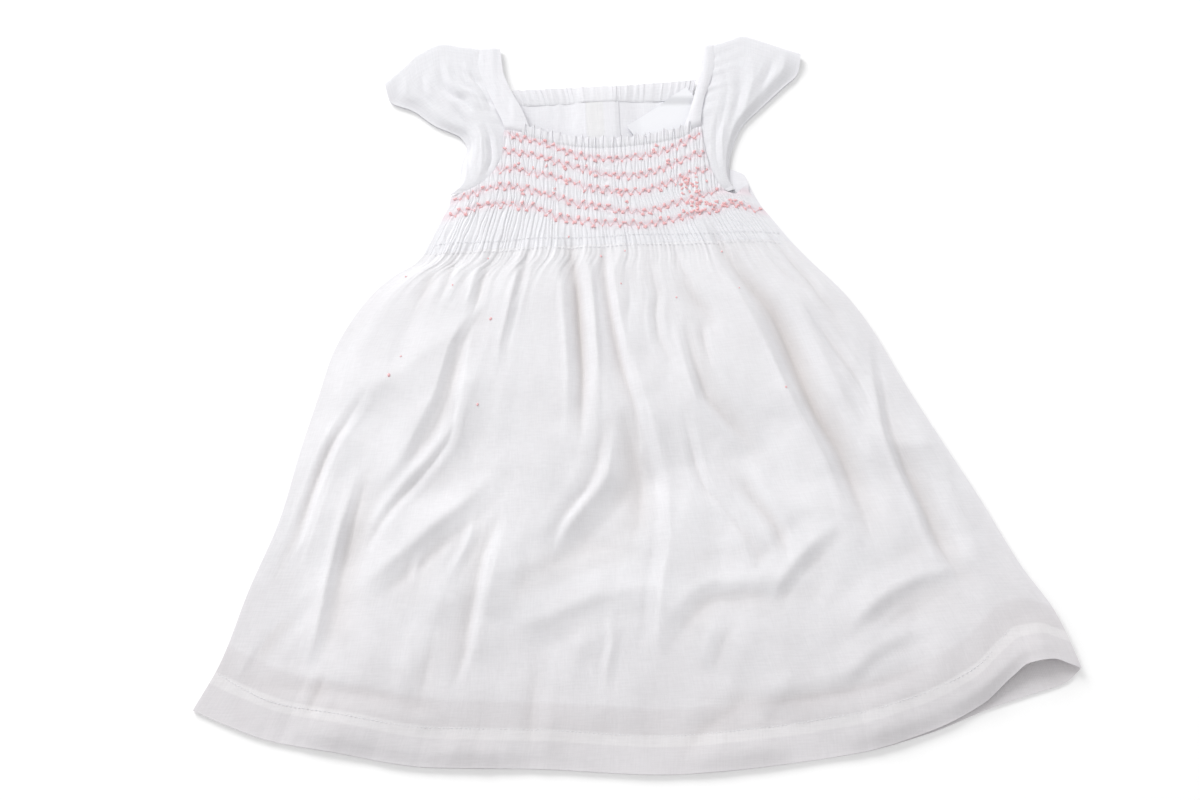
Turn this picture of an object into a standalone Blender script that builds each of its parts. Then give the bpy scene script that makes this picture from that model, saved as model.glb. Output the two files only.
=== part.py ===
"""Toddler dress in white cotton voile, laid flat with its smocked front up.

Metres, +Z up. +X runs across the dress, +Y towards the neck, and the back lies
on the plane z = 0. Left is -X. Every piece of cloth is a wall made from a grid
of points on its middle surface. Rows of each grid run down the cloth and its
columns run across it.
"""

import bpy
import numpy as np

# Driving dimensions
WALL = 0.0010            # back, sleeves, straps and frills
SKIRT_WALL = 0.0012      # front skirt with its lining
SMOCK_WALL = 0.0024      # pleats drawn up by the smocking
SEAM_GAP = 0.0004        # between pieces that are sewn together
LAY_GAP = 0.0005         # between pieces that lie on each other
SLEEVE_GAP = 0.0008      # from the armhole seam to the sleeve, whose edge waves
YOKE_Y = 0.102           # seam below the back yoke
RELEASE_Y = 0.100        # last gathering row of the smocking
UNDERARM_Y = 0.140       # pleats run straight above it and fan out below
NECK_Y = 0.218           # top of the back yoke
PLACKET_LEFT = -0.018
PLACKET_RIGHT = 0.007
BUTTON_RADIUS = 0.0052
BUTTON_THICK = 0.0016
BUTTON_YS = (0.208, 0.168, 0.128)
LABEL_LENGTH = 0.054
LABEL_WIDTH = 0.025
LABEL_CORNER = (0.012, 0.196)
LABEL_TURN = 33.5        # degrees
SHOULDER_Z = 0.0042      # middle of a front strap above the floor
CELL = 0.0046            # width of a column where the front is narrowest

# Sides of the dress from underarm to hem: y, x
SIDE_LEFT = (
    (0.145, -0.116), (0.127, -0.119), (0.115, -0.126), (0.094, -0.141),
    (0.085, -0.156), (0.072, -0.171), (0.052, -0.186), (0.027, -0.199),
    (-0.003, -0.208), (-0.043, -0.220), (-0.088, -0.232), (-0.138, -0.252),
    (-0.183, -0.268), (-0.214, -0.285),
)
SIDE_RIGHT = (
    (0.147, 0.097), (0.132, 0.102), (0.120, 0.112), (0.107, 0.119),
    (0.087, 0.134), (0.057, 0.159), (0.032, 0.174), (-0.008, 0.192),
    (-0.053, 0.214), (-0.093, 0.234), (-0.141, 0.256), (-0.173, 0.274),
    (-0.211, 0.286),
)
# Front's upper edge, armhole to armhole past the neck: x, y
FRONT_TOP = (
    (-0.116, 0.145), (-0.100, 0.150), (-0.087, 0.160), (-0.079, 0.174),
    (-0.0765, 0.195), (-0.056, 0.190), (-0.036, 0.183), (-0.004, 0.179),
    (0.026, 0.181), (0.049, 0.185), (0.0655, 0.192), (0.067, 0.177),
    (0.070, 0.160), (0.076, 0.145), (0.085, 0.138), (0.097, 0.147),
)
# Front hem, lifted at its right corner: x, y
HEM_FRONT = (
    (-0.285, -0.214), (-0.266, -0.223), (-0.236, -0.235), (-0.196, -0.244),
    (-0.136, -0.256), (-0.066, -0.260), (0.024, -0.267), (0.134, -0.259),
    (0.184, -0.247), (0.220, -0.231), (0.240, -0.214), (0.252, -0.206),
    (0.268, -0.206), (0.278, -0.209), (0.286, -0.211),
)
# Back hem: x, y
HEM_BACK = (
    (-0.285, -0.214), (-0.266, -0.223), (-0.236, -0.235), (-0.196, -0.244),
    (-0.136, -0.256), (-0.066, -0.260), (0.024, -0.267), (0.134, -0.259),
    (0.184, -0.248), (0.224, -0.234), (0.252, -0.226), (0.276, -0.219),
    (0.286, -0.211),
)
# How high the front stands clear of the back, down the cloth: y, height
FRONT_PUFF = (
    (0.200, 0.0036), (0.150, 0.0038), (0.100, 0.0036), (0.085, 0.0031),
    (0.060, 0.0033), (0.000, 0.0031), (-0.120, 0.0027), (-0.210, 0.0020),
    (-0.268, 0.0016),
)
# Large folds of the front: x0, y0, x1, y1, x2, y2 along it, half width, height
FOLDS = (
    (-0.031, 0.084, -0.028, 0.045, -0.029, -0.040, 0.0075, -0.0030),
    (-0.008, 0.080, -0.001, 0.030, 0.022, -0.090, 0.0110, -0.0026),
    (0.066, 0.112, 0.122, 0.000, 0.154, -0.118, 0.0130, -0.0050),
    (-0.116, 0.045, -0.128, -0.014, -0.163, -0.060, 0.0100, -0.0030),
    (-0.181, -0.003, -0.206, -0.050, -0.236, -0.130, 0.0110, -0.0032),
    (-0.091, -0.068, -0.130, -0.105, -0.181, -0.138, 0.0120, 0.0030),
    (0.044, -0.035, 0.052, -0.082, 0.081, -0.123, 0.0100, -0.0030),
    (0.174, -0.040, 0.190, -0.090, 0.211, -0.145, 0.0110, 0.0032),
    (0.199, -0.143, 0.160, -0.150, 0.142, -0.175, 0.0120, 0.0030),
    (-0.076, -0.168, -0.016, -0.145, 0.050, -0.155, 0.0150, 0.0026),
    (0.020, 0.085, 0.048, 0.000, 0.092, -0.060, 0.0130, 0.0026),
    (-0.060, 0.080, -0.080, -0.010, -0.125, -0.200, 0.0150, 0.0022),
)
LIFT_X = 0.258           # lifted hem corner
LIFT_Y = -0.216
LIFT_HEIGHT = 0.0125
LIFT_REACH_X = 0.022
LIFT_REACH_Y = 0.034
SLEEVE_RIPPLE = 0.0011   # waves along a sleeve's gathered seam
SLEEVE_WAVES = 9.5
SLEEVE_DROP = 0.0012     # from the shoulder to the underarm
STRAP_CLIMB = 0.0009     # from the shoulder to the neck corner
STRAP_CROWN = 0.0006
FRONT_FRILL_TALL = 0.0090
FRONT_FRILL_Z = 0.0072
BACK_FRILL_TALL = 0.0112
PLACKET_RAMP = 0.016     # width over which a back half climbs to the placket

# Seam of the armhole from shoulder to underarm: t, x, y
ARMHOLE_LEFT = (
    (0.00, -0.095, 0.263), (0.12, -0.094, 0.245), (0.25, -0.089, 0.230),
    (0.40, -0.082, 0.212), (0.52, -0.0768, 0.196), (0.62, -0.0782, 0.182),
    (0.70, -0.0795, 0.174), (0.84, -0.0875, 0.160), (0.92, -0.100, 0.1505),
    (1.00, -0.1135, 0.1462),
)
ARMHOLE_RIGHT = (
    (0.00, 0.080, 0.259), (0.12, 0.079, 0.245), (0.25, 0.075, 0.230),
    (0.40, 0.069, 0.213), (0.52, 0.0660, 0.194), (0.62, 0.0668, 0.179),
    (0.74, 0.0698, 0.161), (0.86, 0.0755, 0.1465), (1.00, 0.0830, 0.1402),
)
# Free edge of the sleeve from its tip to the underarm: t, x, y
SLEEVE_EDGE_LEFT = (
    (0.00, -0.163, 0.237), (0.10, -0.159, 0.224), (0.25, -0.143, 0.216),
    (0.40, -0.127, 0.203), (0.52, -0.108, 0.192), (0.62, -0.104, 0.183),
    (0.74, -0.108, 0.169), (0.86, -0.110, 0.155), (1.00, -0.116, 0.1465),
)
SLEEVE_EDGE_RIGHT = (
    (0.00, 0.143, 0.249), (0.10, 0.140, 0.236), (0.25, 0.127, 0.223),
    (0.40, 0.110, 0.207), (0.52, 0.096, 0.193), (0.62, 0.089, 0.179),
    (0.74, 0.085, 0.166), (0.86, 0.0835, 0.153), (1.00, 0.087, 0.142),
)
# Rise of the sleeve's shoulder fold above a straight line: s, y
CREASE_LEFT = ((0.0, 0.0), (0.2, 0.0077), (0.45, 0.0165), (0.65, 0.0140), (0.8, 0.008), (1.0, 0.0))
CREASE_RIGHT = ((0.0, 0.0), (0.2, 0.0060), (0.35, 0.0105), (0.5, 0.0085), (0.75, 0.004), (1.0, 0.0))
# Inner edge of a strap, which is the neck edge there: t, x, y
STRAP_EDGE_LEFT = (
    (0.00, -0.078, 0.263), (0.12, -0.0765, 0.245), (0.25, -0.072, 0.230),
    (0.40, -0.0637, 0.212), (0.52, -0.0565, 0.1912),
)
STRAP_EDGE_RIGHT = (
    (0.00, 0.0716, 0.259), (0.12, 0.0693, 0.245), (0.25, 0.0658, 0.230),
    (0.40, 0.0610, 0.213), (0.52, 0.0515, 0.1872),
)
SLEEVE_BACK_END = 0.66   # share of the armhole that a sleeve's back layer covers
STRAP_FRONT_END = 0.52
STRAP_BACK_END = 0.343

# Outer edges of the back yoke from shoulder to its lower seam: y, x
BACK_EDGE_LEFT = (
    (0.2180, -0.0840), (0.1960, -0.0768), (0.1740, -0.0792), (0.1600, -0.0872),
    (0.1505, -0.1000), (0.1450, -0.1160), (0.1270, -0.1190), (0.1020, -0.1350),
)
BACK_EDGE_RIGHT = (
    (0.2180, 0.0702), (0.1950, 0.0656), (0.1790, 0.0664), (0.1700, 0.0680),
    (0.1620, 0.0790), (0.1540, 0.0950), (0.1450, 0.0980), (0.1270, 0.1060),
    (0.1020, 0.1220),
)


def column(table, index):
    return np.array([row[index] for row in table])


def along(table, t, first=1, second=2):
    """The point of a (t, x, y) table at each t, as an array of x and y."""
    ts = column(table, 0)
    return np.stack([np.interp(t, ts, column(table, first)), np.interp(t, ts, column(table, second))], -1)


def spread(start, end, cell):
    """Evenly spaced values from start to end, about one cell apart."""
    return np.linspace(start, end, max(2, round(abs(end - start) / cell) + 1))


def cloth_material(name, color, roughness):
    material = bpy.data.materials.new(name)
    material.use_nodes = True
    shader = material.node_tree.nodes["Principled BSDF"]
    shader.inputs["Base Color"].default_value = (*color, 1.0)
    shader.inputs["Roughness"].default_value = roughness
    shader.inputs["Metallic"].default_value = 0.0
    return material


def grid_faces(rows, columns, offset, flip):
    index = np.arange(rows * columns).reshape(rows, columns) + offset
    quads = np.stack([index[:-1, :-1], index[:-1, 1:], index[1:, 1:], index[1:, :-1]], -1).reshape(-1, 4)
    return quads[:, ::-1] if flip else quads


def rim_faces(rows, columns):
    """Quads that join the upper and the lower grid round their common border."""
    index = np.arange(rows * columns).reshape(rows, columns)
    border = np.concatenate([index[0, :-1], index[:-1, -1], index[-1, :0:-1], index[:0:-1, 0]])
    after = np.roll(border, -1)
    lower = rows * columns
    return np.stack([border, border + lower, after + lower, after], -1)


def wall(name, middle, thickness, material):
    """One closed wall: the middle surface moved out by half the thickness to each side."""
    rows, columns = middle.shape[:2]
    down = np.gradient(middle, axis=0)
    across = np.gradient(middle, axis=1)
    normal = np.cross(across, down)
    normal /= np.linalg.norm(normal, axis=2, keepdims=True)
    half = np.broadcast_to(np.asarray(thickness) / 2, (rows, columns))[..., None]
    upper = (middle + normal * half).reshape(-1, 3)
    lower = (middle - normal * half).reshape(-1, 3)
    points = np.concatenate([upper, lower])
    faces = np.concatenate([
        grid_faces(rows, columns, 0, False),
        grid_faces(rows, columns, rows * columns, True),
        rim_faces(rows, columns),
    ])
    corners = points[faces]
    signed = np.einsum("ij,ij->i", corners[:, 0], np.cross(corners[:, 1], corners[:, 2])).sum()
    signed += np.einsum("ij,ij->i", corners[:, 0], np.cross(corners[:, 2], corners[:, 3])).sum()
    if signed < 0:
        faces = faces[:, ::-1]
    mesh = bpy.data.meshes.new(name)
    mesh.from_pydata(points.tolist(), [], faces.tolist())
    mesh.materials.append(material)
    mesh.shade_smooth()
    piece = bpy.data.objects.new(name, mesh)
    bpy.context.scene.collection.objects.link(piece)
    return piece


def fold_height(x, y, folds):
    """Sum of the folds at each point: a bell across each curved path, fading at its ends."""
    total = np.zeros_like(x)
    share = np.linspace(0.0, 1.0, 25)
    for x0, y0, x1, y1, x2, y2, half_width, height in folds:
        path_x = (1 - share) ** 2 * x0 + 2 * share * (1 - share) * x1 + share ** 2 * x2
        path_y = (1 - share) ** 2 * y0 + 2 * share * (1 - share) * y1 + share ** 2 * y2
        distance = np.hypot(x[..., None] - path_x, y[..., None] - path_y)
        nearest = distance.argmin(-1)
        fade = np.sin(np.pi * (0.08 + 0.84 * share[nearest])) ** 0.6
        total += height * fade * np.exp(-((distance.min(-1) / half_width) ** 2))
    return total


def front_columns():
    """The x of each column at the upper edge, with a column on every corner of that edge."""
    corners = column(FRONT_TOP, 0)
    parts = [spread(a, b, CELL)[:-1] for a, b in zip(corners[:-1], corners[1:])]
    return np.concatenate(parts + [corners[-1:]])


def panel_grid(x_top, y_top, hem, y_rows_top, row_count):
    """Points of a skirt: columns fan from the release line to the hem between the two sides."""
    share = (x_top - x_top[0]) / (x_top[-1] - x_top[0])
    hem_left = hem[0][0]
    hem_right = hem[-1][0]
    y_hem = np.interp(hem_left + (hem_right - hem_left) * share, column(hem, 0), column(hem, 1))
    rows_x = []
    rows_y = []
    for t in np.linspace(0.0, 1.0, row_count):
        y_left = y_rows_top + (hem[0][1] - y_rows_top) * t
        y_right = y_rows_top + (hem[-1][1] - y_rows_top) * t
        x_left = np.interp(-y_left, -column(SIDE_LEFT, 0), column(SIDE_LEFT, 1))
        x_right = np.interp(-y_right, -column(SIDE_RIGHT, 0), column(SIDE_RIGHT, 1))
        rows_x.append(x_left + (x_right - x_left) * share)
        rows_y.append(y_top + (y_hem - y_top) * t)
    return np.array(rows_x), np.array(rows_y), share


def make_front(material):
    """Smocked yoke and skirt in one cut, standing clear of the back in its folds."""
    x_top = front_columns()
    edge_y = np.interp(x_top, column(FRONT_TOP, 0), column(FRONT_TOP, 1))
    release_y = np.full_like(x_top, RELEASE_Y)
    skirt_x, skirt_y, share = panel_grid(x_top, release_y, HEM_FRONT, RELEASE_Y, 19)
    yoke_t = np.linspace(0.0, 1.0, 8)[:-1, None]
    yoke_y = edge_y + (release_y - edge_y) * yoke_t
    fan = np.clip((UNDERARM_Y - yoke_y) / (UNDERARM_Y - RELEASE_Y), 0, 1)
    yoke_x = x_top + (skirt_x[0] - x_top) * fan
    x = np.concatenate([yoke_x, skirt_x])
    y = np.concatenate([yoke_y, skirt_y])
    thickness = np.interp(-y, (-0.115, -0.085), (SMOCK_WALL, SKIRT_WALL))
    across = 1 - np.abs(2 * share - 1) ** 3
    puff = np.interp(-y, -column(FRONT_PUFF, 0), column(FRONT_PUFF, 1)) * across
    folds = fold_height(x, y, FOLDS) * np.clip(across * 2.5, 0, 1)
    corner = ((x - LIFT_X) / LIFT_REACH_X) ** 2 + ((y - LIFT_Y) / LIFT_REACH_Y) ** 2
    z = WALL + LAY_GAP + thickness / 2 + np.maximum(puff + folds, 0) + LIFT_HEIGHT * np.exp(-corner)
    return wall("front", np.stack([x, y, z], -1), thickness, material)


def make_back_skirt(material):
    """Plain back of the skirt, flat on the floor."""
    x_top = np.linspace(-0.116, 0.097, 15)
    top = np.full_like(x_top, YOKE_Y - SEAM_GAP)
    x, y, _ = panel_grid(x_top, top, HEM_BACK, YOKE_Y - SEAM_GAP, 14)
    return wall("back_skirt", np.stack([x, y, np.full_like(x, WALL / 2)], -1), WALL, material)


def back_yoke_z(x, edge, top_z):
    """Middle of a yoke half: flat outside, and raised over the buttons where it meets the placket."""
    rise = np.clip(1 - np.abs(x - edge) / PLACKET_RAMP, 0, 1)
    return WALL / 2 + (top_z - WALL / 2) * rise * rise * (3 - 2 * rise)


OVER_Z = BUTTON_THICK + 0.0003 + WALL / 2
UNDER_Z = OVER_Z + WALL + 0.0003


def make_back_yoke(name, edge_table, inner_x, inner_z, material):
    ys = column(edge_table, 0)
    outer = column(edge_table, 1)
    share = np.array([0.0, 0.25, 0.5, 0.7, 0.78, 0.85, 0.92, 1.0])
    x = outer[:, None] + (inner_x - outer[:, None]) * share
    y = np.repeat(ys[:, None], len(share), 1)
    z = back_yoke_z(x, inner_x, inner_z)
    return wall(name, np.stack([x, y, z], -1), WALL, material)


def make_placket(name, z, material):
    """A folded strip down the back opening."""
    x = np.linspace(PLACKET_LEFT, PLACKET_RIGHT, 4)
    y = np.linspace(NECK_Y, YOKE_Y, 6)
    xs, ys = np.meshgrid(x, y)
    return wall(name, np.stack([xs, ys, np.full_like(xs, z)], -1), WALL, material)


def folded(front_xy, back_xy, front_z, back_z, turn_rows):
    """A layer turned over the shoulder: the back layer, the turn and the front layer in one grid."""
    turn = np.linspace(-90, 90, turn_rows + 2)[1:-1] * np.pi / 180
    radius = (front_z[0] - back_z[0]) / 2
    centre = (front_z[0] + back_z[0]) / 2
    crease = (front_xy[0] + back_xy[0]) / 2
    rows = [np.concatenate([back_xy, back_z[..., None]], -1)[::-1]]
    for angle in turn:
        bend = crease.copy()
        bend[:, 1] += radius * np.cos(angle)
        rows.append(np.concatenate([bend, (centre + radius * np.sin(angle))[:, None]], -1)[None])
    rows.append(np.concatenate([front_xy, front_z[..., None]], -1))
    return np.concatenate(rows)


def make_sleeve(name, seam, edge, crease, side, material):
    """A flutter sleeve folded at the shoulder, its two layers open along the free edge."""
    share = np.linspace(0.0, 1.0, 12)
    front_t = np.linspace(0.0, 1.0, 12)[:, None]
    back_t = np.linspace(0.0, SLEEVE_BACK_END, 6)[:, None]

    def plan(t):
        seam_point = along(seam, t[:, 0])[:, None, :]
        edge_point = along(edge, t[:, 0])[:, None, :]
        seam_point = seam_point + np.array([side * SLEEVE_GAP, 0.0])
        point = seam_point + (edge_point - seam_point) * share[None, :, None]
        rise = np.interp(share, column(crease, 0), column(crease, 1))
        point[..., 1] += rise * np.clip(1 - t, 0, 1) ** 3
        return point

    swell = np.sin(np.pi * np.clip(front_t * 1.1, 0, 1))
    ripple = SLEEVE_RIPPLE * np.sin(share * SLEEVE_WAVES + 0.6) * swell
    taper = np.clip(1 - front_t, 0, 1) ** 0.5
    front_z = SHOULDER_Z - SLEEVE_DROP * (1 - taper) + ripple * (1 - share * 0.3) + 0 * share
    back_z = WALL / 2 + 0 * back_t * share
    middle = folded(plan(front_t), plan(back_t), front_z, back_z, 4)
    return wall(name, middle, WALL, material)


def make_strap(name, seam, edge, side, material):
    """A shoulder strap from the front neck corner over the shoulder to the back neck corner."""
    share = np.linspace(0.0, 1.0, 5)
    front_t = np.linspace(0.0, STRAP_FRONT_END, 9)
    back_t = np.linspace(0.0, STRAP_BACK_END, 5)

    def plan(t):
        seam_point = along(seam, t)[:, None, :] - np.array([side * SEAM_GAP / 2, 0.0])
        return seam_point + (along(edge, t)[:, None, :] - seam_point) * share[None, :, None]

    climb = STRAP_CLIMB * (front_t / STRAP_FRONT_END)[:, None]
    front_z = SHOULDER_Z + climb + STRAP_CROWN * np.sin(np.pi * share)
    back_z = np.full((5, 5), WALL / 2)
    middle = folded(plan(front_t), plan(back_t), front_z, back_z, 4)
    return wall(name, middle, WALL, material)


def make_front_frill(material):
    """Narrow gathered frill that stands along the front neck edge."""
    x = np.linspace(-0.060, 0.056, 38)
    base_y = np.interp(x, column(FRONT_TOP, 0), column(FRONT_TOP, 1)) + WALL
    out = np.array([0.0, 0.35, 0.7, 1.0])[::-1, None]
    wave = np.sin(x * 520.0) + 0.5 * np.sin(x * 310.0 + 1.0)
    y = base_y + FRONT_FRILL_TALL * out
    z = FRONT_FRILL_Z + 0.0016 * out + 0.0007 * out * wave
    return wall("neck_frill_front", np.stack([x + 0 * out, y, z], -1), WALL, material)


def make_back_frill(material):
    """Gathered frill of the back neck, lying on the floor above the back yoke."""
    base = np.linspace(-0.0655, 0.0605, 38)
    tip = np.linspace(-0.0700, 0.0645, 38)
    out = np.array([0.0, 0.35, 0.7, 1.0])[::-1, None]
    rise = np.array([0.0004, 0.0, 0.0036])
    edge = np.interp(base, (-0.07, 0.0, 0.062), rise)
    wave = np.sin(base * 480.0) + 0.6 * np.sin(base * 290.0)
    x = base + (tip - base) * out
    y = NECK_Y + SEAM_GAP + (BACK_FRILL_TALL + edge) * out
    middle_lift = np.interp(base, (-0.034, -0.020, 0.008, 0.024), (0.0, 1.0, 1.0, 0.0))
    over_placket = (OVER_Z - WALL / 2) * middle_lift * (1 - out * 0.5)
    z = WALL / 2 + 0.0006 + (0.0012 + 0.0005 * wave) * out + over_placket
    return wall("neck_frill_back", np.stack([x, y, z], -1), WALL, material)


def make_label(material):
    """Blank woven label on the inside of the back neck, its upper edge standing off."""
    turn = np.radians(LABEL_TURN)
    length = np.linspace(0.0, LABEL_LENGTH, 12)[None, :]
    width = np.linspace(0.0, LABEL_WIDTH, 6)[:, None]
    x = LABEL_CORNER[0] + length * np.cos(turn) + width * np.sin(turn)
    y = LABEL_CORNER[1] + length * np.sin(turn) - width * np.cos(turn)
    below = back_yoke_z(x, PLACKET_RIGHT + SEAM_GAP, OVER_Z)
    over_frill = np.clip((y - 0.213) / 0.006, 0, 1)
    lift = 0.0008 * (1 - width / LABEL_WIDTH) ** 2 + 0.0016 * over_frill
    z = below + WALL + LAY_GAP + lift
    return wall("label", np.stack([x, y, z], -1), WALL, material)


def make_button(name, y, material):
    """A flat shirt button with eased rims, under the placket on the floor."""
    mesh = bpy.data.meshes.new(name)
    angles = np.linspace(0, 2 * np.pi, 18, endpoint=False)
    rings = (
        (BUTTON_RADIUS - 0.0004, 0.0), (BUTTON_RADIUS, 0.0004),
        (BUTTON_RADIUS, BUTTON_THICK - 0.0004), (BUTTON_RADIUS - 0.0004, BUTTON_THICK),
    )
    centre_x = (PLACKET_LEFT + PLACKET_RIGHT) / 2
    points = [
        (centre_x + radius * np.cos(angle), y + radius * np.sin(angle), z)
        for radius, z in rings for angle in angles
    ]
    count = len(angles)
    faces = [tuple(range(count))[::-1], tuple(range(3 * count, 4 * count))]
    for ring in range(3):
        for step in range(count):
            after = (step + 1) % count
            low = ring * count
            faces.append((low + step, low + after, low + count + after, low + count + step))
    mesh.from_pydata(points, [], faces)
    mesh.materials.append(material)
    mesh.shade_smooth()
    mesh.set_sharp_from_angle(angle=np.radians(30))
    piece = bpy.data.objects.new(name, mesh)
    bpy.context.scene.collection.objects.link(piece)
    return piece


def main():
    for existing in list(bpy.data.objects):
        bpy.data.objects.remove(existing, do_unlink=True)
    voile = cloth_material("voile", (0.86, 0.86, 0.89), 0.85)
    lawn = cloth_material("lawn", (0.84, 0.84, 0.87), 0.85)
    label_cloth = cloth_material("label_satin", (0.88, 0.88, 0.90), 0.55)
    shell = cloth_material("button_shell", (0.87, 0.86, 0.84), 0.25)
    make_front(voile)
    make_back_skirt(lawn)
    make_back_yoke("back_yoke_left", BACK_EDGE_LEFT, PLACKET_LEFT - SEAM_GAP, UNDER_Z, lawn)
    make_back_yoke("back_yoke_right", BACK_EDGE_RIGHT, PLACKET_RIGHT + SEAM_GAP, OVER_Z, lawn)
    make_placket("placket_over", OVER_Z, lawn)
    make_placket("placket_under", UNDER_Z, lawn)
    make_sleeve("sleeve_left", ARMHOLE_LEFT, SLEEVE_EDGE_LEFT, CREASE_LEFT, -1, voile)
    make_sleeve("sleeve_right", ARMHOLE_RIGHT, SLEEVE_EDGE_RIGHT, CREASE_RIGHT, 1, voile)
    make_strap("strap_left", ARMHOLE_LEFT, STRAP_EDGE_LEFT, -1, voile)
    make_strap("strap_right", ARMHOLE_RIGHT, STRAP_EDGE_RIGHT, 1, voile)
    make_front_frill(voile)
    make_back_frill(voile)
    make_label(label_cloth)
    for number, y in enumerate(BUTTON_YS, 1):
        make_button(f"button_{number}", y, shell)


main()
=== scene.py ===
import math
import bpy
import numpy as np
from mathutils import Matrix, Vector


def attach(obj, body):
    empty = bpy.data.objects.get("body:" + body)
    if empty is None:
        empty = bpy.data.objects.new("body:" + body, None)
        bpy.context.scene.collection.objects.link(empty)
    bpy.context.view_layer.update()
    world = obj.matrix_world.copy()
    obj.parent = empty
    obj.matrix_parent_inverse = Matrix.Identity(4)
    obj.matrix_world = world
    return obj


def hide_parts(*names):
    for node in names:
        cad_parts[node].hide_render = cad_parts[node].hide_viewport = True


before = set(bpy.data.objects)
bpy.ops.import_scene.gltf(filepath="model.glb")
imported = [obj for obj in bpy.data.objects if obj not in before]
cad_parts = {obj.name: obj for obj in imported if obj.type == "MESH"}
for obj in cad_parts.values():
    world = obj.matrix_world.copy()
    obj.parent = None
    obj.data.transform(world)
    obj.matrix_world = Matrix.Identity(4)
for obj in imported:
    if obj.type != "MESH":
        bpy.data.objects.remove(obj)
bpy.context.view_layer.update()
rng = np.random.default_rng(11)

# the sizes that several pieces of cloth share, in metres
dress = dict(
    backWall=0.0010,      # back layer on the floor
    clear=0.0005,         # front above back where they lie on each other
    releaseY=0.100,       # where the smocking lets its pleats go
    underarmY=0.140,      # pleats run straight above this
    neckY=0.218,          # top of the back yoke
    yokeSeamY=0.102,      # back yoke to back skirt
    yokeWall=0.0006,
    skirtWall=0.00055,
    clothWall=0.00045,
    strapWall=0.0007,
    frillWall=0.0004,
    turnRows=9,           # rows round the fold at the shoulder
)

# outline of the skirt: y, x down each side
sideLeft = ((0.145, -0.116), (0.127, -0.119), (0.115, -0.126), (0.094, -0.141), (0.085, -0.156),
            (0.072, -0.171), (0.052, -0.186), (0.027, -0.199), (-0.003, -0.208), (-0.043, -0.220),
            (-0.088, -0.232), (-0.138, -0.252), (-0.183, -0.268), (-0.214, -0.285))
sideRight = ((0.147, 0.097), (0.132, 0.102), (0.120, 0.112), (0.107, 0.119), (0.087, 0.134),
             (0.057, 0.159), (0.032, 0.174), (-0.008, 0.192), (-0.053, 0.214), (-0.093, 0.234),
             (-0.141, 0.256), (-0.173, 0.274), (-0.211, 0.286))
# upper edge of the front from armhole to armhole: x, y
frontEdge = ((-0.116, 0.145), (-0.100, 0.150), (-0.087, 0.160), (-0.079, 0.174), (-0.0765, 0.195),
             (-0.056, 0.190), (-0.036, 0.183), (-0.004, 0.179), (0.026, 0.181), (0.049, 0.185),
             (0.0655, 0.192), (0.067, 0.177), (0.070, 0.160), (0.076, 0.145), (0.085, 0.138),
             (0.097, 0.147))
# hems: x, y
hemFront = ((-0.285, -0.214), (-0.266, -0.223), (-0.236, -0.235), (-0.196, -0.244), (-0.136, -0.256),
            (-0.066, -0.260), (0.024, -0.267), (0.134, -0.259), (0.184, -0.247), (0.220, -0.231),
            (0.240, -0.215), (0.252, -0.207), (0.268, -0.205), (0.278, -0.208), (0.286, -0.211))
hemBack = ((-0.285, -0.214), (-0.266, -0.223), (-0.236, -0.235), (-0.196, -0.244), (-0.136, -0.256),
           (-0.066, -0.260), (0.024, -0.267), (0.134, -0.259), (0.184, -0.248), (0.224, -0.234),
           (0.252, -0.226), (0.276, -0.219), (0.286, -0.211))


def smoothCurve(knots, values, at):
    # cubic through the knots; each slope is the harmonic mean of its neighbours', so it never overshoots
    knots = np.asarray(knots, float)
    values = np.asarray(values, float)
    step = np.diff(knots)
    rise = np.diff(values) / step
    slope = np.zeros(len(knots))
    product = rise[1:] * rise[:-1]
    total = np.where(np.abs(rise[1:] + rise[:-1]) < 1e-12, 1, rise[1:] + rise[:-1])
    slope[1:-1] = np.where(product > 0, 2 * product / total, 0)
    slope[0], slope[-1] = rise[0], rise[-1]
    at = np.clip(at, knots[0], knots[-1])
    cell = np.clip(np.searchsorted(knots, at, side="right") - 1, 0, len(step) - 1)
    u = (at - knots[cell]) / step[cell]
    stay = (1 + 2 * u) * (1 - u) ** 2 * values[cell] + u * u * (3 - 2 * u) * values[cell + 1]
    lean = u * (1 - u) ** 2 * slope[cell] + u * u * (u - 1) * slope[cell + 1]
    return stay + lean * step[cell]


def byX(table, at):
    # the table's second column where its first one, which rises, is this
    rows = np.array(table)
    return smoothCurve(rows[:, 0], rows[:, 1], at)


def byFallingY(table, at):
    # the table's second column where its first one, which falls, is this
    rows = np.array(table)
    return smoothCurve(-rows[:, 0], rows[:, 1], -np.asarray(at))


def smoothPath(points, count):
    # points in a row joined by smooth curves, read at even steps
    rows = np.array(points, float)
    at = np.linspace(0, len(rows) - 1, count)
    index = np.arange(len(rows))
    return np.stack([smoothCurve(index, rows[:, k], at) for k in range(rows.shape[1])], -1)


def ease(low, high, at):
    # 0 at low and 1 at high, with no corner at either
    u = np.clip((at - low) / (high - low), 0, 1)
    return u * u * (3 - 2 * u)


def lineNoise(at, cells, seed):
    # random heights at even steps of 0..1, joined by smooth blends
    values = np.random.default_rng(seed).uniform(-1, 1, cells + 3)
    place = np.clip(at, 0, 1) * cells
    cell = np.floor(place).astype(int)
    u = place - cell
    u = u * u * (3 - 2 * u)
    return values[cell] * (1 - u) + values[cell + 1] * u


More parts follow.
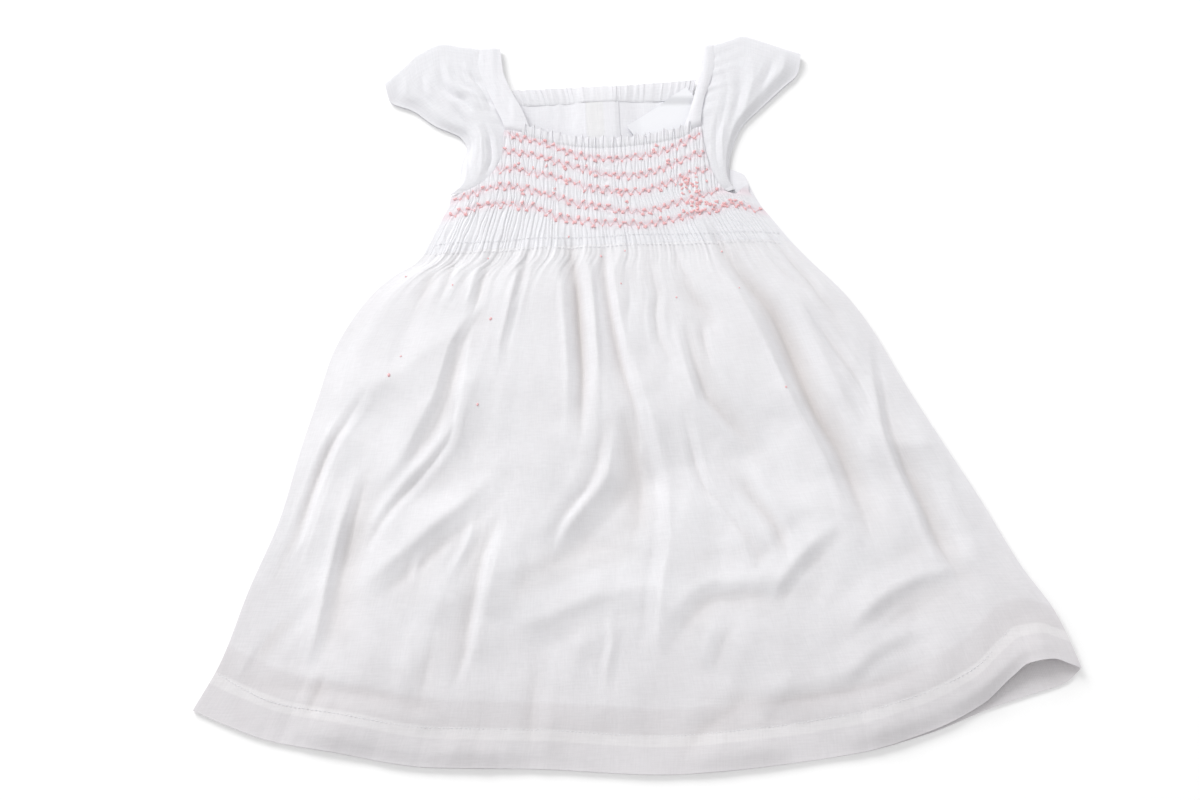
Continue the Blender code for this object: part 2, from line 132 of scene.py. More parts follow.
def clothNoise(x, y, sizeX, sizeY, seed, rounding=1.0):
    # random heights on a lattice with cells sizeX by sizeY, joined by blends that go from straight
    # facets at rounding 0 to smooth hills at 1
    values = np.random.default_rng(seed).uniform(-1, 1, (97, 97))
    px, py = x / sizeX + 31.7, y / sizeY + 47.3
    ix, iy = np.floor(px).astype(int), np.floor(py).astype(int)
    u, v = px - ix, py - iy
    u = u + rounding * (u * u * (3 - 2 * u) - u)
    v = v + rounding * (v * v * (3 - 2 * v) - v)
    a, b = ix % 97, (ix + 1) % 97
    c, d = iy % 97, (iy + 1) % 97
    low = values[a, c] * (1 - u) + values[b, c] * u
    high = values[a, d] * (1 - u) + values[b, d] * u
    return low * (1 - v) + high * v


def foldField(x, y, table):
    # each fold has a crest or floor that is nearly sharp across its path, its own width on either
    # side, a weak bank of the opposite sign beyond, and it fades at both ends
    total = np.zeros_like(x)
    for points, leftWidth, rightWidth, height in table:
        points = np.array(points, float) / 1000
        left, right, height = leftWidth / 1000, rightWidth / 1000, height / 1000
        reach = 3.0 * max(left, right)
        near = ((x > points[:, 0].min() - reach) & (x < points[:, 0].max() + reach)
                & (y > points[:, 1].min() - reach) & (y < points[:, 1].max() + reach))
        if not near.any():
            continue
        path = smoothPath(points, 10 * len(points))
        turn = np.gradient(path, axis=0)
        turn /= np.linalg.norm(turn, axis=1, keepdims=True)
        px, py = x[near], y[near]
        dx, dy = px[:, None] - path[:, 0], py[:, None] - path[:, 1]
        nearest = np.hypot(dx, dy).argmin(1)
        pick = np.arange(len(px))
        dx, dy = dx[pick, nearest], dy[pick, nearest]
        aside = dx * turn[nearest, 1] - dy * turn[nearest, 0]
        ahead = dx * turn[nearest, 0] + dy * turn[nearest, 1]
        share = (nearest + 0.5 * np.clip(ahead / 0.002, -1, 1)) / (len(path) - 1)
        fade = np.sin(np.pi * np.clip(0.03 + 0.94 * share, 0, 1)) ** 0.75
        width = left + (right - left) * ease(-0.0012, 0.0012, -aside)
        scaled = np.hypot(aside, ahead * (nearest % (len(path) - 1) == 0)) / width
        tip = np.exp(-1.5 * (np.sqrt(scaled ** 2 + 0.035) - 0.187))
        bell = tip - 0.26 * np.exp(-((scaled - 2.0) / 0.75) ** 2)
        total[near] += height * fade * bell * np.clip((3.0 - scaled) / 0.8, 0, 1)
    return total


def quadsOf(rows, columns, start=0):
    # the four-sided faces of a grid whose points are numbered row by row
    index = np.arange(rows * columns).reshape(rows, columns) + start
    return np.stack([index[:-1, :-1], index[:-1, 1:], index[1:, 1:], index[1:, :-1]], -1).reshape(-1, 4)


def putMesh(name, points, faces, uv=None, marks=None):
    # a smooth mesh of these points and faces, with its flat cut as uv and one value a point for each mark
    mesh = bpy.data.meshes.new(name)
    mesh.vertices.add(len(points))
    mesh.vertices.foreach_set("co", np.asarray(points, np.float32).ravel())
    mesh.loops.add(faces.size)
    mesh.loops.foreach_set("vertex_index", faces.ravel().astype(np.int32))
    mesh.polygons.add(len(faces))
    mesh.polygons.foreach_set("loop_start", np.arange(0, faces.size, faces.shape[1], dtype=np.int32))
    mesh.update(calc_edges=True)
    if uv is not None:
        layer = mesh.uv_layers.new(name="cut")
        layer.data.foreach_set("uv", np.asarray(uv, np.float32)[faces.ravel()].ravel())
    for key, values in (marks or {}).items():
        attribute = mesh.attributes.new(key, "FLOAT", "POINT")
        attribute.data.foreach_set("value", np.asarray(values, np.float32).ravel())
    mesh.validate()
    mesh.shade_smooth()
    piece = bpy.data.objects.new(name, mesh)
    bpy.context.scene.collection.objects.link(piece)
    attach(piece, "root")
    return piece


def normalsOf(grid):
    # the cross product of the grid's two slopes at each point, one long
    normal = np.cross(np.gradient(grid, axis=1), np.gradient(grid, axis=0))
    return normal / np.maximum(np.linalg.norm(normal, axis=2, keepdims=True), 1e-12)


def putShell(name, upper, lower, cut, marks=None):
    # two grids, one over the other, closed along their border; rows run down and columns across,
    # so the upper side faces up where x grows along a row and y falls down a column; the rim's two
    # edges are sharp, so that neither side's shading bends round it
    rows, columns = upper.shape[:2]
    count = rows * columns
    index = np.arange(count).reshape(rows, columns)
    border = np.concatenate([index[0, :-1], index[:-1, -1], index[-1, :0:-1], index[:0:-1, 0]])
    after = np.roll(border, -1)
    faces = np.concatenate([
        quadsOf(rows, columns)[:, ::-1],
        quadsOf(rows, columns, count),
        np.stack([border, after, after + count, border + count], -1),
    ])
    points = np.concatenate([upper.reshape(-1, 3), lower.reshape(-1, 3)])
    corners = points[faces]
    signed = (corners[:, 0] * np.cross(corners[:, 1], corners[:, 2])).sum()
    signed += (corners[:, 0] * np.cross(corners[:, 2], corners[:, 3])).sum()
    if signed < 0:
        faces = faces[:, ::-1]
    uv = np.concatenate([cut.reshape(-1, 2), cut.reshape(-1, 2)])
    both = {key: np.concatenate([v.ravel(), v.ravel()]) for key, v in (marks or {}).items()}
    piece = putMesh(name, points, faces, uv, both)
    onBorder = np.zeros(2 * count, bool)
    onBorder[border] = True
    onBorder[border + count] = True
    ends = np.empty(2 * len(piece.data.edges), np.int32)
    piece.data.edges.foreach_get("vertices", ends)
    ends = ends.reshape(-1, 2)
    rim = onBorder[ends].all(1) & ((ends < count).sum(1) != 1)
    sharp = piece.data.attributes.new("sharp_edge", "BOOLEAN", "EDGE")
    sharp.data.foreach_set("value", rim)
    return piece


def putCloth(name, upper, thickness, cut, marks=None):
    # a thin shell whose lower side is the upper one moved in along its normals
    normal = normalsOf(upper)
    if normal[..., 2].mean() < 0:
        normal = -normal
    return putShell(name, upper, upper - normal * thickness, cut, marks)


def putFolded(name, middle, thickness, cutWidth, cutLength):
    # a shell on both sides of a layer that is folded over, half its thickness each way; the last rows
    # lie on top and face up
    normal = normalsOf(middle)
    if normal[-40:, :, 2].mean() < 0:
        normal = -normal
    share = np.linspace(0, 1, middle.shape[1])[None, :]
    down = np.linspace(0, cutLength, middle.shape[0])[:, None]
    cut = np.stack(np.broadcast_arrays(share * cutWidth, down), -1)
    return putShell(name, middle + normal * thickness / 2, middle - normal * thickness / 2, cut)


def sewOn(piece, material, node=None):
    # gives the piece its material, and hides the solid that it stands in for
    piece.data.materials.append(material)
    if node:
        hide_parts(node)


def newMaterial(name):
    # an empty material: itself, its nodes, its links and its shader
    material = bpy.data.materials.new(name)
    material.use_nodes = True
    nodes = material.node_tree.nodes
    return material, nodes, material.node_tree.links, nodes["Principled BSDF"]


def addNode(nodes, kind, values=None, **settings):
    # one node with these settings, and these values on its unlinked inputs
    node = nodes.new(kind)
    for key, setting in settings.items():
        setattr(node, key, setting)
    for key, value in (values or {}).items():
        node.inputs[key].default_value = value
    return node


def tintBetween(nodes, links, amount, dark, light):
    # from the dark colour at amount 0 to the light one at amount 1
    tint = addNode(nodes, "ShaderNodeMix", {"A": (*dark, 1), "B": (*light, 1)}, data_type="RGBA")
    links.new(amount, tint.inputs["Factor"])
    return tint.outputs["Result"]


def stretchedNoise(nodes, links, place, stretch, scale=1.0, detail=2.0):
    # noise that is read at the place times the stretch, so it runs along where the stretch is small
    stretched = addNode(nodes, "ShaderNodeMapping", dict(Scale=stretch))
    noise = addNode(nodes, "ShaderNodeTexNoise", dict(Scale=scale, Detail=detail))
    links.new(place, stretched.inputs["Vector"])
    links.new(stretched.outputs["Vector"], noise.inputs["Vector"])
    return noise.outputs["Fac"]


def addBump(nodes, links, shader, height, strength, depth):
    # the height tilts the surface's normals, over a depth in metres
    lift = addNode(nodes, "ShaderNodeBump", dict(Strength=strength, Distance=depth))
    links.new(height, lift.inputs["Height"])
    links.new(lift.outputs["Normal"], shader.inputs["Normal"])


def joinValues(nodes, links, first, second, operation, factor=None):
    # one sum of two values; MULTIPLY_ADD takes the first times the factor plus the second
    joined = addNode(nodes, "ShaderNodeMath", operation=operation)
    links.new(first, joined.inputs[0])
    if factor is not None:
        joined.inputs[1].default_value = factor
    links.new(second, joined.inputs[1 if factor is None else 2])
    return joined.outputs[0]


# what the cloth's colour is multiplied by where the mesh's mark of that name is 1
clothTones = dict(
    # painted shade: this warm grey darkens the cloth where folds and pleats sink, standing in for the shade in
    # them
    paintedFoldShade=(0.75, 0.715, 0.68),      # in the deepest folds
    stitched=(1.0, 0.885, 0.905),    # beside the pink rows, where the floss shows through
    warm=(1.0, 0.998, 0.972),        # on the yellowed fold of the button lap
)


def multiplyBy(nodes, links, color, mark, tone):
    # the colour times a tone, as strongly as the mesh's mark says
    amount = addNode(nodes, "ShaderNodeAttribute", attribute_name=mark)
    mixed = addNode(nodes, "ShaderNodeMix", {"B": (*tone, 1)}, data_type="RGBA", blend_type="MULTIPLY")
    links.new(amount.outputs["Fac"], mixed.inputs["Factor"])
    links.new(color, mixed.inputs["A"])
    return mixed.outputs["Result"]


# the uneven threads: length and thickness in metres, and the darkest and lightest they show
slubs = dict(long=0.012, thick=0.0011, low=0.955, high=1.02)


def addSlubs(nodes, links, place, color):
    # noise stretched along the cloth plus noise stretched across it darkens and lightens the colour
    long, thick = 1 / slubs["long"], 1 / slubs["thick"]
    along = stretchedNoise(nodes, links, place, (thick, long, 1.0))
    across = stretchedNoise(nodes, links, place, (long, thick, 1.0))
    shade = addNode(nodes, "ShaderNodeMapRange", {
        "From Min": 0.7, "From Max": 1.3, "To Min": slubs["low"], "To Max": slubs["high"]})
    links.new(joinValues(nodes, links, along, across, "ADD"), shade.inputs["Value"])
    scaled = addNode(nodes, "ShaderNodeVectorMath", operation="SCALE")
    links.new(color, scaled.inputs["Vector"])
    links.new(shade.outputs["Result"], scaled.inputs["Scale"])
    return scaled.outputs["Vector"]


hemTones = dict(
    # distance from the hem edge in metres, and how bright the cloth shows there: turned hem, sheer
    # band, lining edge showing through as a dark band deepened by painted shade, and the cloth over the
    # lining, darker towards the hem up to 12 cm above it
    rows=((0.0, (0.885, 0.87, 0.868)), (0.0165, (0.885, 0.87, 0.866)), (0.0176, (0.955, 0.942, 0.93)),
          (0.0236, (0.945, 0.932, 0.92)), (0.0250, (0.85, 0.833, 0.827)), (0.0395, (0.875, 0.86, 0.857)),
          (0.0425, (0.93, 0.922, 0.92)), (0.075, (0.965, 0.96, 0.96)), (0.12, (1.0, 1.0, 1.0))),
    reach=0.12,
)


def addHemBands(nodes, links, color):
    # the colour times a ramp over the distance from the hem
    distance = addNode(nodes, "ShaderNodeAttribute", attribute_name="fromHem")
    scale = addNode(nodes, "ShaderNodeMapRange", {"From Max": hemTones["reach"]})
    links.new(distance.outputs["Fac"], scale.inputs["Value"])
    ramp = nodes.new("ShaderNodeValToRGB")
    marks = ramp.color_ramp.elements
    while len(marks) < len(hemTones["rows"]):
        marks.new(0.5)
    for mark, (place, bright) in zip(marks, hemTones["rows"]):
        mark.position = place / hemTones["reach"]
        mark.color = (*bright, 1)
    links.new(scale.outputs["Result"], ramp.inputs["Fac"])
    mixed = addNode(nodes, "ShaderNodeMix", {"Factor": 1.0}, data_type="RGBA", blend_type="MULTIPLY")
    links.new(color, mixed.inputs["A"])
    links.new(ramp.outputs["Color"], mixed.inputs["B"])
    return mixed.outputs["Result"]


weave = dict(
    waver=1.2, slubScale=420.0, slubStretch=(1.0, 0.16, 1.0), threadShare=0.35, bump=0.30, bumpDepth=0.0002,
    mottleScale=26.0, mottleDetail=5.0, mottleRoughness=0.62,
    roughness=0.9, sheenRoughness=0.6, specular=0.25,
    throughWeight=0.25, throughRadius=(1.0, 0.95, 0.95), throughScale=0.0015,
)


def weaveMaterial(name, color, shade, sheen, threads, bands=False):
    # plain weave: two crossed sets of fine waves for the threads plus stretched noise for their slubs
    # as relief, and a slow mottle between the two colours where the cloth lies double or loose
    material, nodes, links, shader = newMaterial(name)
    place = nodes.new("ShaderNodeTexCoord")
    waves = dict(Scale=threads, Distortion=weave["waver"], Detail=1.0)
    warp, weft = (addNode(nodes, "ShaderNodeTexWave", waves, bands_direction=way) for way in "XY")
    links.new(place.outputs["UV"], warp.inputs["Vector"])
    links.new(place.outputs["UV"], weft.inputs["Vector"])
    slub = stretchedNoise(nodes, links, place.outputs["UV"], weave["slubStretch"], weave["slubScale"], 4.0)
    crossed = joinValues(nodes, links, warp.outputs["Fac"], weft.outputs["Fac"], "ADD")
    relief = joinValues(nodes, links, crossed, slub, "MULTIPLY_ADD", weave["threadShare"])
    addBump(nodes, links, shader, relief, weave["bump"], weave["bumpDepth"])
    mottle = addNode(nodes, "ShaderNodeTexNoise", dict(
        Scale=weave["mottleScale"], Detail=weave["mottleDetail"], Roughness=weave["mottleRoughness"]))
    links.new(place.outputs["Object"], mottle.inputs["Vector"])
    tone = addNode(nodes, "ShaderNodeMapRange", {"From Min": 0.3, "From Max": 0.7})
    links.new(mottle.outputs["Fac"], tone.inputs["Value"])
    last = tintBetween(nodes, links, tone.outputs["Result"], shade, color)
    last = addSlubs(nodes, links, place.outputs["UV"], last)
    for mark, clothTone in clothTones.items():
        last = multiplyBy(nodes, links, last, mark, clothTone)
    if bands:
        last = addHemBands(nodes, links, last)
    links.new(last, shader.inputs["Base Color"])
    shader.inputs["Roughness"].default_value = weave["roughness"]
    shader.inputs["Sheen Weight"].default_value = sheen
    shader.inputs["Sheen Roughness"].default_value = weave["sheenRoughness"]
    shader.inputs["Specular IOR Level"].default_value = weave["specular"]
    shader.inputs["Subsurface Weight"].default_value = weave["throughWeight"]
    shader.inputs["Subsurface Radius"].default_value = weave["throughRadius"]
    shader.inputs["Subsurface Scale"].default_value = weave["throughScale"]
    return material


def flossMaterial(name, deep, pale, roughness):
    # stranded cotton: fine noise runs between a deep and a pale shade, and is its relief too
    material, nodes, links, shader = newMaterial(name)
    place = nodes.new("ShaderNodeTexCoord")
    strands = addNode(nodes, "ShaderNodeTexNoise", dict(Scale=900.0, Detail=3.0))
    links.new(place.outputs["Object"], strands.inputs["Vector"])
    tint = tintBetween(nodes, links, strands.outputs["Fac"], deep, pale)
    links.new(tint, shader.inputs["Base Color"])
    addBump(nodes, links, shader, strands.outputs["Fac"], 0.5, 0.0003)
    shader.inputs["Roughness"].default_value = roughness
    shader.inputs["Sheen Weight"].default_value = 0.15
    return material


def satinMaterial(name, color, shade, frameOfPlace):
    # long floats as noise stretched along one way, between two near colours, with a soft gloss
    material, nodes, links, shader = newMaterial(name)
    place = nodes.new("ShaderNodeTexCoord")
    floats = stretchedNoise(nodes, links, place.outputs[frameOfPlace], (60.0, 1500.0, 1.0))
    links.new(tintBetween(nodes, links, floats, shade, color), shader.inputs["Base Color"])
    addBump(nodes, links, shader, floats, 0.2, 0.0001)
    shader.inputs["Roughness"].default_value = 0.42
    return material


voile = weaveMaterial("voile", (0.885, 0.876, 0.905), (0.850, 0.836, 0.862), 0.06, 330.0, bands=True)
smocked = weaveMaterial("smocked_voile", (0.880, 0.878, 0.915), (0.855, 0.848, 0.885), 0.06, 330.0)
lawn = weaveMaterial("lawn", (0.875, 0.868, 0.890), (0.845, 0.832, 0.850), 0.05, 300.0, bands=True)
floss = flossMaterial("rose_floss", (0.80, 0.30, 0.32), (0.97, 0.74, 0.75), 0.75)
paleFloss = flossMaterial("pale_rose_floss", (0.84, 0.47, 0.49), (0.93, 0.72, 0.73), 0.75)
whiteThread = flossMaterial("white_thread", (0.80, 0.80, 0.83), (0.92, 0.92, 0.94), 0.6)
labelSatin = satinMaterial("label_satin", (0.95, 0.955, 0.99), (0.92, 0.925, 0.96), "UV")
buttonPearl = satinMaterial("button_pearl", (0.88, 0.87, 0.85), (0.80, 0.79, 0.78), "Object")
print("materials made")


# the front is one cut: the smocked yoke above releaseY and the skirt below it
frontShape = dict(
    # puff: how high the front stands clear of the back, as y and height; lift: how high its right
    # corner is raised, where and over what reach; the rest are the pleats of the smocking
    puff=((0.200, 0.0046), (0.150, 0.0054), (0.100, 0.0064), (0.060, 0.0082), (0.000, 0.0088),
          (-0.060, 0.0084), (-0.120, 0.0074), (-0.200, 0.0050), (-0.250, 0.0026), (-0.270, 0.0014)),
    liftX=0.260, liftY=-0.214, lift=0.0080, liftReachX=0.024, liftReachY=0.034,
    foldScale=0.72, hemRest=0.010, pleats=79, pleatHeight=0.00042, pleatPair=0.26,
)
# folds of the skirt in millimetres: path as x, y points from its top down; width on the left and
# on the right of the path; height, below zero for a hollow
skirtFolds = (
    # hollow left of the middle, and its two lips
    (((-35, 104), (-31, 88), (-29.5, 74), (-28.5, 62), (-28, 44), (-27.5, 24), (-27, 4), (-28, -16),
      (-30, -42)), 5.0, 5.0, -7.2),
    (((-46, 96), (-42, 70), (-39, 40), (-38, 10), (-40, -20)), 10, 5, 1.6),
    (((-20, 98), (-19, 70), (-17, 44), (-17, 20), (-20, -8), (-26, -36)), 4, 8, 1.6),
    # fold right of the middle, with the long hollow on its left
    (((-10, 104), (-9, 88), (-8, 68), (-6, 48), (-4, 32), (-1, 12), (3, -8), (7, -26),
      (9, -48)), 7, 2.6, -4.6),
    (((-3, 98), (-1.5, 72), (1, 48), (4, 26), (9, 2), (14, -16), (19, -36), (23, -58), (26, -80),
      (26, -104)), 4, 15, 3.4),
    (((-2, -26), (4, -52), (8, -74), (6, -98), (0, -116)), 19, 9, -4.6),
    (((27, -86), (26, -112), (20, -142), (16, -168), (13, -190)), 5, 13, 2.6),
    # left side: sharp edge with a hollow on its right
    (((-103, 52), (-110, 40), (-118, 28), (-124, 8), (-129, -8), (-135, -20), (-143, -36),
      (-150, -52), (-163, -68)), 15, 3.4, 2.4),
    (((-98, 48), (-106, 32), (-113, 12), (-118, -6), (-125, -24), (-136, -42), (-148, -56)), 4, 7, -2.5),
    (((-101, 44), (-104, 24), (-107, 4), (-111, -18), (-118, -34), (-130, -50), (-148, -70),
      (-166, -92), (-176, -112)), 4, 10, 2.0),
    (((-114, -16), (-117, -36), (-127, -52), (-142, -70), (-158, -88), (-174, -112)), 3, 3, -2.6),
    # bend between the bright upper left panel and the rest
    (((-112, 40), (-128, 28), (-146, 14), (-162, 4), (-176, -8), (-188, -24)), 26, 13, 2.8),
    (((-176, -6), (-188, -24), (-198, -40), (-206, -58), (-213, -78), (-220, -98), (-228, -114),
      (-236, -134)), 3.2, 3.2, -3.4),
    (((-188, -40), (-196, -60), (-204, -84), (-212, -108), (-220, -134)), 6, 6, 1.8),
    (((-181, -62), (-188, -88), (-194, -110), (-200, -134), (-205, -160), (-212, -188)), 12, 3.6, 3.2),
    (((-174, -64), (-180, -88), (-185, -110), (-190, -134), (-194, -158), (-200, -182)), 5, 13, -3.6),
    # diagonal ridge and the ones under it
    (((-91, -66), (-106, -82), (-126, -98), (-150, -118), (-176, -138)), 13, 7, 4.6),
    (((-98, -92), (-120, -112), (-146, -132), (-172, -148)), 9, 20, -1.5),
    (((-103, -96), (-106, -110), (-112, -122), (-120, -136)), 3, 3, 1.7),
    (((-137, -120), (-141, -128), (-143, -140)), 2.6, 2.6, 1.4),
    (((-86, -94), (-93, -110), (-99, -126), (-103, -146), (-108, -168), (-112, -190),
      (-118, -206)), 11, 3, -3.0),
    (((-80, -100), (-88, -122), (-94, -146), (-100, -172), (-104, -194)), 3, 10, 2.0),
    # between the two middle folds
    (((-8, -36), (-10, -54), (-14, -70), (-22, -82), (-32, -92), (-42, -104), (-50, -118)), 3.4, 8, 3.0),
    (((-16, -40), (-20, -60), (-27, -76), (-36, -88), (-46, -102), (-51, -116)), 5, 3, -2.0),
    (((-80, -146), (-50, -128), (-20, -118), (4, -124)), 13, 12, -2.6),
    (((-92, -172), (-58, -164), (-24, -152), (4, -147), (22, -150)), 8, 10, 2.8),
    (((-16, -164), (-15, -180), (-19, -196), (-21, -212)), 2.6, 3.2, 1.5),
    # middle right
    (((24, 88), (25, 72), (27, 60), (25, 44), (26, 28), (31, 14), (34, 4)), 3, 3, -1.9),
    (((8, 80), (8, 58), (5, 42), (6, 28)), 4, 4, -1.2),
    (((45, 74), (52, 58), (60, 46), (66, 34)), 6, 7, -2.8),
    (((56, 36), (57, 24), (60, 8)), 2.4, 2.4, -1.5),
    (((45, 32), (48, 14), (52, -2), (57, -18), (64, -28), (74, -40), (82, -50)), 3.6, 8, -3.8),
    (((38, 36), (42, 10), (47, -14), (52, -32)), 9, 4, 1.6),
    (((40, -32), (43, -50), (46, -66), (51, -82), (61, -94), (70, -108), (79, -122),
      (84, -134)), 2.8, 3.2, -2.6),
    (((48, -58), (54, -84), (66, -100), (76, -116)), 4, 9, 1.8),
    (((75, -76), (83, -92), (91, -103), (98, -116), (103, -134)), 4, 6, -3.2),
    (((84, -70), (94, -90), (103, -108), (108, -126)), 4, 8, 1.6),
    (((138, -110), (121, -122), (108, -134), (96, -148), (88, -160)), 9, 4, 3.2),
    (((136, -122), (118, -138), (104, -152)), 6, 14, -1.2),
    # broad hollow on the right and its ridge
    (((70, 106), (79, 86), (88, 70), (98, 56), (106, 42), (112, 26), (117, 10), (122, -8), (128, -26),
      (134, -40), (143, -58), (149, -78), (153, -96), (157, -116)), 6.5, 10, -7.4),
    (((66, 92), (78, 70), (88, 46), (97, 22), (104, 4), (111, -16), (119, -34), (129, -56),
      (137, -78), (145, -102)), 18, 5, 3.6),
    (((100, 76), (116, 56), (128, 34), (137, 10), (147, -16), (157, -40)), 6, 10, 2.4),
    (((128, 48), (136, 34), (142, 24), (149, 12), (157, -2), (163, -14), (167, -28)), 2.8, 3.4, -2.4),
    (((112, 98), (124, 80), (134, 66), (142, 52), (151, 40)), 2.8, 3, -1.9),
    (((96, 100), (110, 82), (122, 68), (134, 58)), 2.6, 3, -1.5),
    (((170, 22), (171, -6), (172, -26), (173, -48), (178, -66), (186, -88), (194, -110)), 13, 3.2, 3.2),
    (((178, -30), (184, -62), (190, -80), (196, -98), (201, -116), (207, -134), (217, -152)), 4, 9, -5.0),
    (((210, -60), (216, -86), (224, -112), (232, -136)), 7, 7, 1.8),
    # lower right: edges that run down to the left
    (((214, -142), (190, -147), (170, -155), (157, -164), (146, -173), (136, -184)), 9, 4, 3.6),
    (((214, -154), (190, -162), (172, -172), (156, -184)), 6, 18, -2.0),
    (((192, -180), (170, -187), (154, -195), (140, -205), (130, -212)), 10, 4, 2.6),
    (((120, -156), (90, -156), (60, -156), (44, -162), (30, -176), (20, -190)), 6, 12, -2.2),
    (((112, -146), (80, -148), (52, -146), (38, -152), (24, -166)), 9, 6, 1.8),
    (((66, -172), (56, -186), (50, -204)), 5, 7, -1.6),
    # lower left
    (((-214, -142), (-228, -154), (-242, -168), (-252, -186), (-260, -200)), 10, 4, 2.6),
    (((-222, -152), (-236, -166), (-246, -184)), 5, 7, -2.6),
    (((-200, -196), (-206, -208), (-212, -222)), 4, 5, -1.8),
    (((-128, -168), (-134, -192), (-140, -222)), 7, 8, -1.8),
    (((-64, -196), (-68, -220), (-70, -250)), 8, 6, -1.6),
    (((72, -216), (60, -228), (40, -240), (26, -256)), 6, 8, -1.8),
    (((-16, -206), (-2, -232), (8, -258)), 9, 7, 1.4),
    # seam of the lining, where the skirt sinks a little
    (((34, -220), (80, -224), (120, -222), (160, -214), (190, -202)), 6, 6, -2.0),
    (((-258, -196), (-220, -202), (-180, -208), (-140, -218), (-122, -222)), 5, 5, -1.5),
    # pleats that run on from the smocking
    (((-66, 102), (-69, 84), (-74, 64), (-79, 44), (-83, 28), (-85, 12)), 8, 3, 2.6),
    (((-62, 100), (-66, 80), (-72, 58)), 2.6, 2.6, -1.6),
    (((-87, 92), (-94, 76), (-97, 64), (-101, 52)), 3, 3, -2.2),
    (((-92, 96), (-100, 78), (-105, 60)), 3, 3, 1.6),
    (((-114, 102), (-115, 90), (-118, 78), (-124, 62)), 3, 3, -2.0),
    (((-126, 92), (-132, 76), (-140, 60)), 4, 4, -1.4),
    (((42, 94), (45, 80), (52, 66)), 2.6, 2.6, -1.6),
)
# the worked rows, as x, y along each
smockRows = (
    ((-0.0755, 0.1930), (-0.0620, 0.1872), (-0.0490, 0.1825), (-0.0400, 0.1790), (-0.0270, 0.1728),
     (-0.0080, 0.1685), (0.0040, 0.1675), (0.0170, 0.1690), (0.0300, 0.1705), (0.0460, 0.1760),
     (0.0560, 0.1815), (0.0645, 0.1860)),
    ((-0.0775, 0.1780), (-0.0620, 0.1748), (-0.0510, 0.1718), (-0.0440, 0.1690), (-0.0270, 0.1626),
     (-0.0160, 0.1590), (-0.0050, 0.1557), (0.0030, 0.1545), (0.0170, 0.1535), (0.0300, 0.1565),
     (0.0400, 0.1600), (0.0560, 0.1675), (0.0670, 0.1700)),
    ((-0.0840, 0.1635), (-0.0700, 0.1630), (-0.0590, 0.1594), (-0.0500, 0.1575), (-0.0350, 0.1525),
     (-0.0200, 0.1462), (-0.0050, 0.1425), (0.0080, 0.1403), (0.0210, 0.1406), (0.0310, 0.1442),
     (0.0500, 0.1510), (0.0580, 0.1550), (0.0690, 0.1570)),
    ((-0.1140, 0.1410), (-0.1000, 0.1455), (-0.0880, 0.1485), (-0.0790, 0.1495), (-0.0640, 0.1470),
     (-0.0550, 0.1435), (-0.0410, 0.1395), (-0.0270, 0.1331), (-0.0060, 0.1290), (0.0040, 0.1258),
     (0.0200, 0.1250), (0.0410, 0.1295), (0.0550, 0.1335), (0.0750, 0.1400)),
    ((-0.1170, 0.1290), (-0.0950, 0.1345), (-0.0790, 0.1357), (-0.0670, 0.1330), (-0.0580, 0.1315),
     (-0.0480, 0.1274), (-0.0410, 0.1227), (-0.0260, 0.1197), (-0.0140, 0.1176), (0.0020, 0.1160),
     (0.0180, 0.1147), (0.0280, 0.1155), (0.0500, 0.1195), (0.0720, 0.1245), (0.0840, 0.1290),
     (0.1040, 0.1240)),
)
gatherRows = (0.1065, 0.0985)      # the two rows of white gathering stitches


def frontShare(x, y):
    # 0..1 across the front at this y: between the two sides below the smocking, and above it along
    # straight lines from the armhole edge to the release line
    y = np.asarray(y, float)
    fan = np.clip((dress["underarmY"] - y) / (dress["underarmY"] - dress["releaseY"]), 0, 1)
    topLeft, topRight = frontEdge[0][0], frontEdge[-1][0]
    lowLeft = byFallingY(sideLeft, dress["releaseY"])
    lowRight = byFallingY(sideRight, dress["releaseY"])
    left = np.where(y > dress["releaseY"], topLeft + (lowLeft - topLeft) * fan, byFallingY(sideLeft, y))
    right = np.where(y > dress["releaseY"], topRight + (lowRight - topRight) * fan,
                     byFallingY(sideRight, y))
    return np.clip((x - left) / (right - left), 0, 1)


# the tubes of the smocking, in metres where they are lengths
smocking = dict(
    wander=0.9, waver=0.30,               # how far a tube strays, in tubes
    pullAt=0.0026, pullReach=0.0024,      # where beside a row its tubes are drawn together, over what reach
    pinchReach=0.0014, pinchShare=0.40, pinchDepth=0.00035,
    gatherReach=0.0013, gatherShare=0.15,
    ridge=0.78, finer=0.30, finerCount=2.13,
    runOut=0.009,                         # how far the tubes run on below the release line
    besideReach=0.0034,                   # how far the floss tints the cloth beside a row
    # broader tubes below: how many, height, how far they run down, seed
    broad=((128, 0.0006, 0.014, 31), (74, 0.00055, 0.026, 32),
           (41, 0.0005, 0.050, 33), (19, 0.0006, 0.24, 34)),
)
# crumple of washed cotton: size of a facet, height, turn of its lattice in radians, seed
crumple = ((0.046, 0.0034, 0.50, 41), (0.024, 0.0017, 1.15, 43), (0.0125, 0.00055, 0.15, 45))


def rowLines(x):
    # the y of each worked row at this x
    return [byX(row, x) for row in smockRows]


